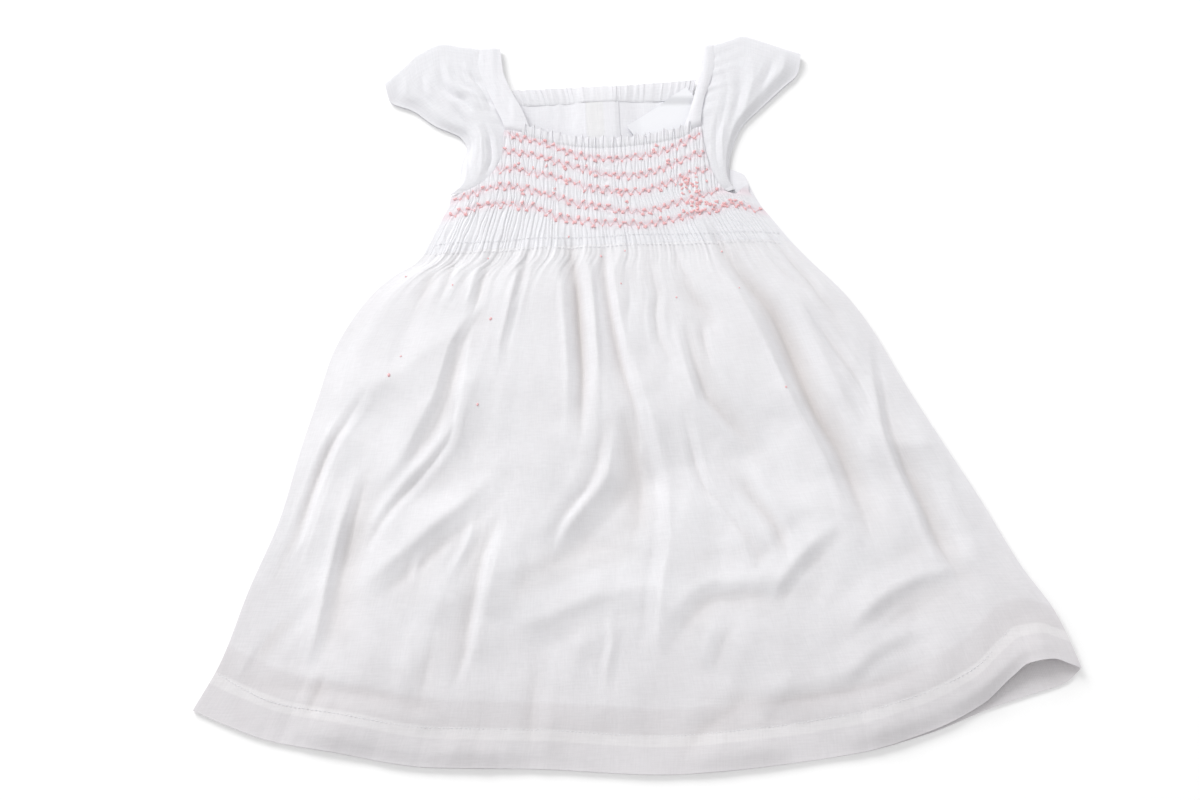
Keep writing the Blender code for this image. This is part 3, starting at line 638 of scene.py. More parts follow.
def pleatRelief(x, y, share):
    # above the release line, tubes of gathered cloth: narrow troughs between round ridges, drawn
    # together in pairs above and below each worked row and pinched at it; below the line the same
    # tubes run out while broader, weaker ones take over
    down = np.clip(dress["releaseY"] - y, 0, 1)
    up = np.clip(y - dress["releaseY"], 0, 1)
    wander = smocking["wander"] * lineNoise(share, 39, 8)
    wander = wander + smocking["waver"] * clothNoise(x, y, 0.004, 0.016, 9)
    place = share * frontShape["pleats"] + wander
    pull = np.zeros_like(x)
    pinch = np.zeros_like(x)
    gatherPinch = np.zeros_like(x)
    for rowY in rowLines(x):
        pull += np.exp(-((y - rowY - smocking["pullAt"]) / smocking["pullReach"]) ** 2)
        pull -= np.exp(-((y - rowY + smocking["pullAt"]) / smocking["pullReach"]) ** 2)
        pinch += np.exp(-((y - rowY) / smocking["pinchReach"]) ** 2)
    for rowY in gatherRows:
        gatherPinch += np.exp(-((y - rowY) / smocking["gatherReach"]) ** 2)
    place = place + frontShape["pleatPair"] * np.sin(np.pi * place) * pull
    ridge = np.abs(np.cos(np.pi * place)) ** 0.8 * 2 - 1.2
    finer = np.abs(np.cos(np.pi * (smocking["finerCount"] * place + 0.4 * wander))) * 2 - 1.2
    strength = 1 + 0.35 * lineNoise(share, 57, 21) + 0.25 * clothNoise(x, y, 0.006, 0.012, 22)
    pinch = np.clip(pinch, 0, 1)
    gathered = frontShape["pleatHeight"] * strength * (smocking["ridge"] * ridge + smocking["finer"] * finer)
    gathered = gathered * (1 - smocking["pinchShare"] * pinch) - smocking["pinchDepth"] * pinch
    gathered = gathered * (1 - smocking["gatherShare"] * gatherPinch)
    total = gathered * np.exp(-down / smocking["runOut"])
    broad = np.zeros_like(x)
    for cells, height, reach, seed in smocking["broad"]:
        drift = share + 0.003 * np.sin(down * 24 + seed)
        broad += height * lineNoise(drift, cells, seed) * np.exp(-down / reach)
    total += broad * (1 - 0.75 * np.clip(up / 0.012, 0, 1))
    sides = np.clip(np.minimum(share, 1 - share) * 26, 0, 1)
    return total * (0.25 + 0.75 * sides)


def creaseRelief(x, y):
    # crumple of washed cotton: nearly flat facets that meet in soft edges, in three sizes, each size on
    # its own turned and bent lattice
    total = np.zeros_like(x)
    for size, height, turn, seed in crumple:
        bentX = x + 0.35 * size * clothNoise(x, y, 1.4 * size, 1.4 * size, seed)
        bentY = y + 0.35 * size * clothNoise(x, y, 1.4 * size, 1.4 * size, seed + 1)
        alongX = bentX * math.cos(turn) + bentY * math.sin(turn)
        alongY = bentY * math.cos(turn) - bentX * math.sin(turn)
        total += height * clothNoise(alongX, alongY, size, 1.35 * size, seed + 5, 0.12)
    return total


def frontParts(x, y, share):
    # height of the front's outer side, and how deep it lies in a fold, which sets how strongly painted fold
    # shade darkens it
    across = 1 - np.abs(2 * share - 1) ** 5
    inside = np.clip(across * 3, 0, 1)
    folds = frontShape["foldScale"] * foldField(x, y, skirtFolds) * inside
    creases = creaseRelief(x, y) * inside * (0.45 * ease(0.125, 0.085, y) + 0.65 * ease(0.05, -0.06, y))
    body = byFallingY(frontShape["puff"], y) * across + folds + creases
    aboveHem = y - byX(hemFront, x)
    body = body * (0.25 + 0.75 * ease(0.0, frontShape["hemRest"], aboveHem))
    soft = 0.0008                       # where a hollow nears the back it flattens
    body = np.where(body > soft, body, soft * np.exp(np.clip(body / soft - 1, -8, 0)))
    away = ((x - frontShape["liftX"]) / frontShape["liftReachX"]) ** 2
    away += ((y - frontShape["liftY"]) / frontShape["liftReachY"]) ** 2
    floor = dress["backWall"] + dress["clear"] + dress["skirtWall"]
    relief = pleatRelief(x, y, share)
    top = floor + body + relief * np.clip((body + 0.001) / 0.003, 0.2, 1)
    top = np.maximum(top, floor) + frontShape["lift"] * np.exp(-away)
    # painted shade mask: 1 where folds and pleats sink deepest, fading to 0 on the flat
    paintedFoldShade = np.clip(-(folds + 0.8 * relief) / 0.006, 0, 1)
    return top, paintedFoldShade


def frontTop(x, y):
    # height of the front's outer side at this place
    return frontParts(x, y, frontShare(x, y))[0]


def nearStitches(x, y):
    # 1 on a worked row, falling off as a bell on both sides of it
    near = np.zeros_like(x)
    for rowY in rowLines(x):
        near = np.maximum(near, np.exp(-((y - rowY) / smocking["besideReach"]) ** 2))
    return near


def makeFrontYoke():
    # straight lines from the armhole and neck edge down to the release line; the lower side is the
    # upper one let down by the wall
    columns, rows = 601, 78
    share = np.linspace(0, 1, columns)[None, :]
    t = np.linspace(0, 1, rows)[:, None]
    xTop = frontEdge[0][0] + (frontEdge[-1][0] - frontEdge[0][0]) * share
    yTop = byX(frontEdge, xTop)
    y = yTop + (dress["releaseY"] - yTop) * t
    fan = np.clip((dress["underarmY"] - y) / (dress["underarmY"] - dress["releaseY"]), 0, 1)
    xLow = byFallingY(sideLeft, dress["releaseY"]) * (1 - share)
    xLow = xLow + byFallingY(sideRight, dress["releaseY"]) * share
    x = xTop + (xLow - xTop) * fan
    share = share + 0 * y
    top, paintedFoldShade = frontParts(x, y, share)
    upper = np.stack([x, y, top], -1)
    lower = upper - np.array([0, 0, dress["yokeWall"]])
    marks = {"paintedFoldShade": paintedFoldShade, "stitched": nearStitches(x, y)}
    piece = putShell("front_smocked_yoke", upper, lower, np.stack([share * 0.58, y], -1), marks)
    sewOn(piece, smocked, "front")


def skirtPlan(hem, yTop, columns, rows, power=1.0):
    # columns fan from the gathered edge to the hem between the two sides
    share = np.linspace(0, 1, columns)[None, :]
    t = np.linspace(0, 1, rows)[:, None] ** power
    hemX = hem[0][0] + (hem[-1][0] - hem[0][0]) * share
    yHem = byX(hem, hemX)
    yLeft = yTop + (hem[0][1] - yTop) * t
    yRight = yTop + (hem[-1][1] - yTop) * t
    x = byFallingY(sideLeft, yLeft) * (1 - share) + byFallingY(sideRight, yRight) * share
    y = yTop + (yHem - yTop) * t
    return x, y, share + 0 * t, yHem


def makeFrontSkirt():
    # the front's height below the release line, tucked under the yoke there and fluttering at the hem
    x, y, share, yHem = skirtPlan(hemFront, dress["releaseY"] + 0.0022, 401, 121, 1.08)
    top, paintedFoldShade = frontParts(x, y, share)
    tuck = 0.0010 * ease(dress["releaseY"] + 0.0002, dress["releaseY"] + 0.0022, y)
    flutter = 0.0005 * np.abs(lineNoise(share, 46, 51)) * ease(0.05, 0.0, y - yHem)
    sides = np.clip((1 - np.abs(2 * share - 1)) * 14, 0, 1)
    upper = np.stack([x, y, top - tuck + flutter * sides], -1)
    marks = {"fromHem": y - yHem, "paintedFoldShade": paintedFoldShade, "stitched": 0 * x}
    piece = putCloth("front_skirt", upper, dress["skirtWall"], np.stack([share * 0.58, y], -1), marks)
    sewOn(piece, voile, "front")


makeFrontYoke()
makeFrontSkirt()
print("front made")


def makeBackSkirt():
    # flat where the front lies on it; its outer side lifts off the floor in gathers and long troughs
    x, y, share, yHem = skirtPlan(hemBack, dress["yokeSeamY"] - 0.0004, 181, 91)
    upper = np.stack([x, y, dress["backWall"] + 0 * x], -1)
    down = np.clip(dress["yokeSeamY"] - y, 0, 1)
    ripple = 0.00035 * (1 + lineNoise(share, 40, 61)) * np.exp(-down / 0.05)
    troughs = 0.00022 * (1 + clothNoise(x, y, 0.02, 0.08, 62))
    lower = np.stack([x, y, np.clip(ripple + troughs, 0, 0.0006)], -1)
    cut = np.stack([share * 0.57, y], -1)
    piece = putShell("back_skirt_panel", upper, lower, cut, {"fromHem": y - yHem})
    sewOn(piece, lawn, "back_skirt")


# back yoke: heights of the two laps, the reach over which the halves rise to them, their sides, and
# the outer edge of each half as y, x
backYoke = dict(
    overZ=0.0024, underZ=0.0037, ramp=0.016, gap=0.0004, tuck=0.0012,
    placketLeft=-0.018, placketRight=0.007,
    left=((0.2180, -0.0840), (0.1960, -0.0768), (0.1740, -0.0792), (0.1600, -0.0872),
          (0.1505, -0.1000), (0.1450, -0.1160), (0.1270, -0.1190), (0.1020, -0.1350)),
    right=((0.2180, 0.0702), (0.1950, 0.0656), (0.1790, 0.0664), (0.1700, 0.0680),
           (0.1620, 0.0790), (0.1540, 0.0950), (0.1450, 0.0980), (0.1270, 0.1060), (0.1020, 0.1220)),
)


def yokeHalfHeight(x, edge, topZ):
    # flat outside and raised over the buttons where it meets the lap
    rise = np.clip(1 - np.abs(x - edge) / backYoke["ramp"], 0, 1)
    wall = dress["backWall"]
    return wall / 2 + (topZ - wall / 2) * rise * rise * (3 - 2 * rise)


def makeBackYoke(name, node, edges, inner, innerZ):
    # from the outer edge to the lap, with fine gathers under the neck that fade downwards
    columns, rows = 90, 70
    share = np.linspace(0, 1, columns)[None, :]
    y = np.linspace(edges[0][0], edges[-1][0], rows)[:, None] + 0 * share
    outer = byFallingY(edges, y[:, :1])
    x = outer + (inner - outer) * share
    z = yokeHalfHeight(x, inner, innerZ) + dress["backWall"] / 2
    gathers = 0.00045 * clothNoise(x, y, 0.0042, 0.10, 71) * np.exp(-(dress["neckY"] - y) / 0.012)
    gathers += 0.00028 * clothNoise(x * 0.8 + y * 0.6, y, 0.018, 0.03, 72)
    sides = np.clip(np.minimum(share, 1 - share) * 12, 0, 1)
    upper = np.stack([x, y, z + gathers * sides], -1)
    lower = np.stack([x, y, np.clip(z - 0.0008 + gathers * sides * 0.5, 0.0, None)], -1)
    piece = putShell(name, upper, lower, np.stack([x, y], -1))
    sewOn(piece, smocked, node)


def makePlacket(name, node, z):
    # a folded lap with a stitched line down one edge and one down its middle; it sinks at its right
    columns, rows = 40, 60
    share = np.linspace(0, 1, columns)[None, :]
    y = np.linspace(dress["neckY"], dress["yokeSeamY"], rows)[:, None] + 0 * share
    x = backYoke["placketLeft"] + (backYoke["placketRight"] - backYoke["placketLeft"]) * share + 0 * y
    stitched = np.exp(-((share - 0.08) / 0.03) ** 2) + np.exp(-((share - 0.55) / 0.02) ** 2)
    sunk = 0.0011 * ease(0.86, 1.0, share)
    top = z + 0.0005 - 0.00012 * stitched + 0.00012 * clothNoise(x, y, 0.006, 0.012, 75) - 0.6 * sunk
    upper = np.stack([x, y, top + 0 * x], -1)
    lower = np.stack([x, y, z - 0.0005 - 0.6 * sunk + 0 * x], -1)
    fold = ease(0.03, 0.06, share) * ease(0.57, 0.53, share)
    piece = putShell(name, upper, lower, np.stack([x, y], -1), {"warm": fold + 0 * x})
    sewOn(piece, smocked, node)


makeBackSkirt()
makeBackYoke("back_yoke_left_half", "back_yoke_left", backYoke["left"],
             backYoke["placketLeft"] + backYoke["tuck"], backYoke["underZ"] - 0.0006)
makeBackYoke("back_yoke_right_half", "back_yoke_right", backYoke["right"],
             backYoke["placketRight"] - backYoke["tuck"], backYoke["overZ"])
makePlacket("button_lap_over", "placket_over", backYoke["overZ"])
makePlacket("button_lap_under", "placket_under", backYoke["underZ"])
print("back made")


# the seam of each sleeve from the shoulder down to the front's side: share, x, y
armholeLeft = ((0.00, -0.095, 0.263), (0.12, -0.094, 0.245), (0.25, -0.089, 0.230), (0.40, -0.082, 0.212),
               (0.52, -0.0768, 0.196), (0.62, -0.0782, 0.182), (0.70, -0.0795, 0.174),
               (0.84, -0.0875, 0.160), (0.92, -0.100, 0.1505), (1.00, -0.1135, 0.1462))
armholeRight = ((0.00, 0.080, 0.259), (0.12, 0.079, 0.245), (0.25, 0.075, 0.230), (0.40, 0.069, 0.213),
                (0.52, 0.0660, 0.194), (0.62, 0.0668, 0.179), (0.74, 0.0698, 0.161), (0.86, 0.0755, 0.1465),
                (1.00, 0.0830, 0.1402))
# each sleeve: its seam, its side, its free edge as share, x, y, how far its shoulder fold bulges as
# share and metres, and its folds like those of the skirt; backEnd: where the back layer ends
sleeves = dict(
    left=dict(
        seam=armholeLeft, side=-1,
        edge=((0.00, -0.163, 0.237), (0.10, -0.159, 0.224), (0.25, -0.143, 0.216), (0.40, -0.127, 0.203),
              (0.52, -0.108, 0.192), (0.62, -0.104, 0.183), (0.74, -0.108, 0.169), (0.86, -0.110, 0.155),
              (1.00, -0.116, 0.1465)),
        crease=((0.0, 0.0), (0.2, 0.0077), (0.45, 0.0165), (0.65, 0.0140), (0.8, 0.008), (1.0, 0.0)),
        folds=(
            (((-123, 254), (-120, 236), (-114, 227), (-106, 221), (-99, 212)), 3.0, 2.2, -1.9),
            (((-118, 256), (-115, 240), (-108, 231), (-100, 226), (-94, 216)), 3.4, 2.4, 1.5),
            (((-136, 246), (-135, 230), (-126, 216)), 3.4, 2.6, -1.5),
            (((-109, 248), (-98, 238), (-90, 224), (-85, 210)), 2.0, 2.6, -1.5),
            (((-104, 252), (-101, 240), (-93, 228), (-88, 216)), 2.4, 1.8, 1.1),
            (((-106, 197), (-101, 186), (-103, 168), (-101, 157)), 2.6, 2.4, -1.7),
            (((-97, 202), (-93, 188), (-93, 172), (-96, 158)), 2.6, 3.0, 1.3),
            (((-92, 200), (-87, 188), (-86, 174), (-91, 160)), 1.8, 2.0, -1.2),
            (((-148, 243), (-148, 231), (-143, 222)), 3.6, 3.0, 1.2),
            (((-112, 214), (-104, 204), (-98, 194)), 2.6, 2.2, -1.2),
        )),
    right=dict(
        seam=armholeRight, side=1,
        edge=((0.00, 0.143, 0.249), (0.10, 0.140, 0.236), (0.25, 0.127, 0.223), (0.40, 0.110, 0.207),
              (0.52, 0.096, 0.193), (0.62, 0.089, 0.179), (0.74, 0.085, 0.166), (0.86, 0.0835, 0.153),
              (1.00, 0.087, 0.142)),
        crease=((0.0, 0.0), (0.2, 0.0060), (0.35, 0.0105), (0.5, 0.0085), (0.75, 0.004), (1.0, 0.0)),
        folds=(
            (((122, 247), (119, 237), (113, 224)), 3.2, 2.4, -1.2),
            (((96, 252), (97, 232), (94, 212), (87, 192)), 4.6, 3.2, -0.9),
            (((105, 254), (107, 236), (102, 216), (94, 198)), 3.0, 4.0, 0.8),
            (((85, 246), (87, 226), (83, 204), (77, 184)), 2.6, 2.2, -0.7),
            (((79, 204), (76, 186), (75, 168), (79, 150)), 1.8, 2.2, -0.6),
            (((84, 200), (80, 178), (80, 160)), 2.0, 2.4, 0.6),
            (((130, 252), (130, 242), (124, 230)), 3.0, 2.6, 0.8),
        )),
    backEnd=0.66, tuck=0.0012, shoulderZ=0.0046, drop=0.0010, cut=(0.09, 0.17),
)
# each strap: its seam, its side, its neck edge and the area of its cut
straps = dict(
    left=dict(seam=armholeLeft, side=-1, area=0.00175,
              edge=((0.00, -0.078, 0.263), (0.12, -0.0765, 0.245), (0.25, -0.072, 0.230),
                    (0.40, -0.0637, 0.212), (0.52, -0.0565, 0.1912))),
    right=dict(seam=armholeRight, side=1, area=0.00125,
               edge=((0.00, 0.0716, 0.259), (0.12, 0.0693, 0.245), (0.25, 0.0658, 0.230),
                     (0.40, 0.0610, 0.213), (0.52, 0.0515, 0.1872))),
    frontEnd=0.545, backEnd=0.343, shoulderZ=0.0042, climb=0.0022, dip=0.0036,
)


def alongSeam(table, t):
    # x and y at this share of the seam
    rows = np.array(table)
    return np.stack([smoothCurve(rows[:, 0], rows[:, 1], t), smoothCurve(rows[:, 0], rows[:, 2], t)], -1)


def foldedLayers(frontXY, backXY, frontZ, backZ):
    # back layer from its end up to the shoulder, a half turn, and the front layer down again
    angles = np.linspace(-np.pi / 2, np.pi / 2, dress["turnRows"] + 2)[1:-1]
    radius = (frontZ[0] - backZ[0]) / 2
    centre = (frontZ[0] + backZ[0]) / 2
    crease = (frontXY[0] + backXY[0]) / 2
    turn = []
    for angle in angles:
        outward, upward = radius * np.cos(angle), radius * np.sin(angle)
        turn.append(np.stack([crease[:, 0], crease[:, 1] + outward, centre + upward], -1))
    back = np.concatenate([backXY, backZ[..., None]], -1)[::-1]
    front = np.concatenate([frontXY, frontZ[..., None]], -1)
    return np.concatenate([back, np.array(turn), front])


def makeSleeve(name, node, spec):
    # both layers run from the seam to the free edge; the front one swells between them, gathers at
    # the seam and settles on what is below at its edge
    share = np.linspace(0, 1, 71)
    frontT = np.linspace(0, 1, 90)[:, None]
    backT = np.linspace(0, sleeves["backEnd"], 40)[:, None]

    def plan(t):
        # straight lines from the tucked seam to the free edge, bulged out where the sleeve folds over
        seam = alongSeam(spec["seam"], t[:, 0])[:, None, :] + np.array([-spec["side"] * sleeves["tuck"], 0])
        edge = alongSeam(spec["edge"], t[:, 0])[:, None, :]
        point = seam + (edge - seam) * share[None, :, None]
        point[..., 1] += byX(spec["crease"], share) * np.clip(1 - t, 0, 1) ** 3
        return point

    frontXY, backXY = plan(frontT), plan(backT)
    taper = np.sqrt(np.clip(1 - frontT, 0, 1))
    swell = np.sin(np.pi * np.clip(frontT * 1.05, 0, 1)) ** 0.5
    z = sleeves["shoulderZ"] - sleeves["drop"] * (1 - taper) + 0 * share
    gathers = 0.0006 * lineNoise(frontT + 0.10 * share, 26, 81 + spec["side"]) * np.exp(-share / 0.22)
    relief = foldField(frontXY[..., 0], frontXY[..., 1], spec["folds"])
    relief += 0.0004 * clothNoise(frontXY[..., 0], frontXY[..., 1], 0.009, 0.016, 83)
    crown = 0.0016 * np.sin(np.pi * np.clip(share * 0.9 + 0.05, 0, 1)) * swell
    settle = ease(1.0, 0.80, share) * ease(0.0, 0.12, frontT) + ease(0.12, 0.0, frontT)
    frontZ = z + crown + (gathers + relief) * swell
    frontZ = np.maximum(0.0016 + (frontZ - 0.0016) * (0.12 + 0.88 * settle), 0.0016)
    backZ = 0.00045 + 0 * backT * share
    middle = foldedLayers(frontXY, backXY, frontZ, backZ)
    piece = putFolded(name, middle, dress["clothWall"], *sleeves["cut"])
    sewOn(piece, smocked, node)


def makeStrap(name, node, spec):
    # both layers run from the seam to the neck edge; the front one climbs towards the yoke and dips
    # under it at its end
    share = np.linspace(0, 1, 25)
    frontT = np.linspace(0, straps["frontEnd"], 60)
    backT = np.linspace(0, straps["backEnd"], 30)

    def plan(t):
        # straight lines across the strap from its seam to its neck edge
        seam = alongSeam(spec["seam"], t)[:, None, :] - np.array([spec["side"] * 0.0002, 0])
        return seam + (alongSeam(spec["edge"], t)[:, None, :] - seam) * share[None, :, None]

    frontXY, backXY = plan(frontT), plan(backT)
    crown = 0.0010 * np.sin(np.pi * share)
    relief = 0.0005 * clothNoise(frontXY[..., 0], frontXY[..., 1], 0.005, 0.022, 91)
    climb = straps["climb"] * (frontT / straps["frontEnd"])[:, None]
    frontZ = straps["shoulderZ"] + climb + crown + relief * np.sin(np.pi * share)
    frontZ = frontZ - straps["dip"] * ease(0.50, straps["frontEnd"], frontT)[:, None]
    backZ = np.full(backXY.shape[:2], 0.00045)
    middle = foldedLayers(frontXY, backXY, frontZ, backZ)
    piece = putFolded(name, middle, dress["strapWall"], 0.02, 0.12)
    sewOn(piece, smocked, node)


makeSleeve("flutter_sleeve_left", "sleeve_left", sleeves["left"])
makeSleeve("flutter_sleeve_right", "sleeve_right", sleeves["right"])
makeStrap("shoulder_strap_left", "strap_left", straps["left"])
makeStrap("shoulder_strap_right", "strap_right", straps["right"])
print("sleeves and straps made")


# each frill: where it starts and ends, how far its seam lies below the edge, height, and the number
# of its curls
frontFrill = dict(left=-0.0640, right=0.0590, below=0.0022, tall=0.0088, curls=21, rise=0.0014, ripple=0.00036)
backFrill = dict(left=-0.0655, width=0.1262, tipLeft=-0.0700, tipWidth=0.1350, below=0.0012, tall=0.0114,
                 curls=24, rise=0.0016, ripple=0.00042)


def makeFrontFrill():
    # the gathered frill stands along the neck edge and ripples more towards its free edge
    columns, rows = 520, 14
    x = np.linspace(frontFrill["left"], frontFrill["right"], columns)[None, :]
    out = np.linspace(1, 0, rows)[:, None]
    along = (x - x[0, 0]) / (x[0, -1] - x[0, 0])
    baseY = byX(frontEdge, x) - frontFrill["below"]
    curl = along * 2 * np.pi * frontFrill["curls"] + 4.0 * lineNoise(along, 17, 103)
    tall = frontFrill["tall"] + 0.0013 * np.sin(curl) + 0.0009 * lineNoise(along, 30, 101)
    tall = tall + 0.0005 * lineNoise(along, 70, 102)
    wave = 0.8 * np.sin(curl + 0.9) + 0.35 * np.sin(2.3 * curl) + 0.2 * lineNoise(along, 60, 104)
    wave = wave + 0.25 * clothNoise(x + 0 * out, 0.01 * out + 0 * x, 0.0022, 0.004, 105) * out
    baseZ = frontTop(x, baseY) + 0.0002
    y = baseY + tall * out * (1 - 0.06 * np.abs(wave))
    z = baseZ - 0.0003 + frontFrill["rise"] * out ** 0.6 + frontFrill["ripple"] * wave * out
    sway = 0.0011 * np.cos(curl) * out
    upper = np.stack([x + sway, y, z], -1)
    cut = np.stack(np.broadcast_arrays(along * 0.30, out * 0.01), -1)
    piece = putShell("neck_frill_front_gathered", upper, upper - np.array([0, 0, dress["frillWall"]]), cut)
    sewOn(piece, smocked, "neck_frill_front")


def neckTop(x):
    # upper side of the back yoke at its neck edge: left half, the lap over it, right half
    low, high = backYoke["placketLeft"], backYoke["placketRight"]
    left = yokeHalfHeight(x, low + backYoke["tuck"], backYoke["underZ"] - 0.0006)
    right = yokeHalfHeight(x, high - backYoke["tuck"], backYoke["overZ"])
    onLap = ease(low - 0.0015, low + 0.0005, x) * ease(high + 0.0010, high - 0.0030, x)
    halves = np.where(x < (low + high) / 2, left, right) + dress["backWall"] / 2
    return halves + (backYoke["underZ"] + 0.0005 - halves) * onLap


def makeBackFrill():
    # lies above the back yoke; tight gathers at its seam open into flutes at the free edge
    columns, rows = 520, 16
    along = np.linspace(0, 1, columns)[None, :]
    out = np.linspace(1, 0, rows)[:, None]
    base = backFrill["left"] + backFrill["width"] * along
    tip = backFrill["tipLeft"] + backFrill["tipWidth"] * along
    x = base + (tip - base) * out
    edge = np.interp(base, (-0.07, 0.0, 0.062), (0.0004, 0.0, 0.0036))
    tall = backFrill["tall"] + edge + 0.0004 * lineNoise(along, 60, 112)
    flute = along * 2 * np.pi * backFrill["curls"] + 5.0 * lineNoise(along, 15, 113)
    wave = 0.7 * np.sin(flute) + 0.25 * np.sin(2.2 * flute) + 0.3 * lineNoise(along, 80, 114)
    wave = wave * (1 + 0.5 * lineNoise(along, 9, 115))
    y = dress["neckY"] - backFrill["below"] + (tall + backFrill["below"]) * out
    z = 0.0002 + neckTop(base) * (1 - 0.45 * out) + backFrill["rise"] * out ** 0.6
    z = z + backFrill["ripple"] * wave * out ** 0.5 * (1 - 0.2 * out)
    sway = 0.0007 * np.cos(flute) * out
    upper = np.stack([x + sway, y, z], -1)
    cut = np.stack(np.broadcast_arrays(along * 0.32, out * 0.012), -1)
    piece = putShell("neck_frill_back_gathered", upper, upper - np.array([0, 0, dress["frillWall"]]), cut)
    sewOn(piece, smocked, "neck_frill_back")


makeFrontFrill()
makeBackFrill()
print("frills made")


# the label: its lower left corner, its turn in degrees, and its sizes
labelShape = dict(corner=(0.012, 0.196), turn=33.5, length=0.054, width=0.025, wall=0.0004)


def makeLabel():
    # a flat ribbon above the back yoke, raised a little towards its far end
    turn = math.radians(labelShape["turn"])
    along = np.linspace(0, labelShape["length"], 60)[None, :]
    down = np.linspace(0, labelShape["width"], 30)[:, None]
    x = labelShape["corner"][0] + along * math.cos(turn) + down * math.sin(turn)
    y = labelShape["corner"][1] + along * math.sin(turn) - down * math.cos(turn)
    below = yokeHalfHeight(x, backYoke["placketRight"] + backYoke["gap"], backYoke["overZ"]) + 0.0005
    lift = 0.0007 * (1 - down / labelShape["width"]) ** 2 + 0.0022 * ease(0.212, 0.219, y)
    lift = lift + 0.0002 * np.sin(along / labelShape["length"] * 5.0 + 0.5)
    upper = np.stack([x, y, below + 0.0011 + lift], -1)
    cut = np.stack(np.broadcast_arrays(along, down), -1)
    piece = putCloth("neck_label", upper, labelShape["wall"], cut)
    sewOn(piece, labelSatin, "label")


makeLabel()


def ringFaces(rings, around):
    # two triangles for each side of a tube, between each ring of points and the next
    index = np.arange(rings * around).reshape(rings, around)
    after = np.roll(index, -1, axis=1)
    first = np.stack([index[:-1], index[1:], after[1:]], -1)
    second = np.stack([index[:-1], after[1:], after[:-1]], -1)
    return np.concatenate([first.reshape(-1, 3), second.reshape(-1, 3)])


def budMesh(rings, around):
    # a ball one unit in radius: rings of points between two poles
    polar = np.linspace(0, np.pi, rings + 2)[1:-1]
    angle = np.linspace(0, 2 * np.pi, around, endpoint=False)
    ring = np.stack([np.sin(polar)[:, None] * np.cos(angle), np.sin(polar)[:, None] * np.sin(angle),
                     np.cos(polar)[:, None] + 0 * angle], -1).reshape(-1, 3)
    points = np.concatenate([ring, [[0, 0, 1], [0, 0, -1]]])
    k = np.arange(around)
    after = np.roll(k, -1)
    last = (rings - 1) * around
    top = np.stack([0 * k + len(ring), k, after], -1)
    bottom = np.stack([0 * k + len(ring) + 1, last + after, last + k], -1)
    return points, np.concatenate([ringFaces(rings, around), top, bottom])


def scatterBuds(name, centres, sizes, turns, material, squash=0.45):
    # copies of one small knot, each scaled, turned and moved to its centre, joined in one mesh
    unit, faces = budMesh(4, 8)
    cosT, sinT = np.cos(turns)[:, None], np.sin(turns)[:, None]
    px = unit[None, :, 0] * sizes[:, None]
    py = unit[None, :, 1] * sizes[:, None] * 0.74
    x = centres[:, None, 0] + px * cosT - py * sinT
    y = centres[:, None, 1] + px * sinT + py * cosT
    z = centres[:, None, 2] + unit[None, :, 2] * sizes[:, None] * squash
    points = np.stack([x, y, z], -1).reshape(-1, 3)
    offsets = (np.arange(len(centres)) * len(unit))[:, None, None]
    piece = putMesh(name, points, (faces[None] + offsets).reshape(-1, 3))
    sewOn(piece, material)


def threadRuns(name, starts, ends, radius, material, bow=0.0004, sides=5, steps=5):
    # short threads from start to end, each a small tube that bows up in its middle
    u = np.linspace(0, 1, steps)[None, :, None]
    line = starts[:, None, :] * (1 - u) + ends[:, None, :] * u
    line[..., 2] += bow * np.sin(np.pi * u[..., 0])
    ahead = ends - starts
    ahead /= np.maximum(np.linalg.norm(ahead, axis=1, keepdims=True), 1e-9)
    sideways = np.cross(ahead, np.array([0, 0, 1.0]))
    sideways /= np.maximum(np.linalg.norm(sideways, axis=1, keepdims=True), 1e-9)
    upward = np.cross(sideways, ahead)
    angle = np.linspace(0, 2 * np.pi, sides, endpoint=False)
    ring = sideways[:, None, None, :] * np.cos(angle)[:, None]
    ring = ring + upward[:, None, None, :] * np.sin(angle)[:, None]
    thick = radius * (0.55 + 0.45 * np.sin(np.pi * u[..., 0]))[..., None, None]
    points = (line[:, :, None, :] + ring * thick).reshape(-1, 3)
    each = steps * sides
    k = np.arange(1, sides - 1)
    startCap = np.stack([0 * k, k + 1, k], -1)
    endCap = np.stack([0 * k + each - sides, each - sides + k, each - sides + k + 1], -1)
    faces = np.concatenate([ringFaces(steps, sides)[:, ::-1], startCap, endCap])
    offsets = (np.arange(len(starts)) * each)[:, None, None]
    piece = putMesh(name, points, (faces[None] + offsets).reshape(-1, 3))
    sewOn(piece, material)


def onFront(x, y, above):
    # points on the front's outer side, raised by this
    return np.stack([x, y, frontTop(x, y) + above], -1)


# smocking stitches: along and across a row, size of a knot and of its lobes, radius of a strand, and
# how many knots are worked between the rows
embroidery = dict(spacing=0.0032, zigzag=0.0020, knot=0.00120, strand=0.00021, extra=22, lobe=0.00115)


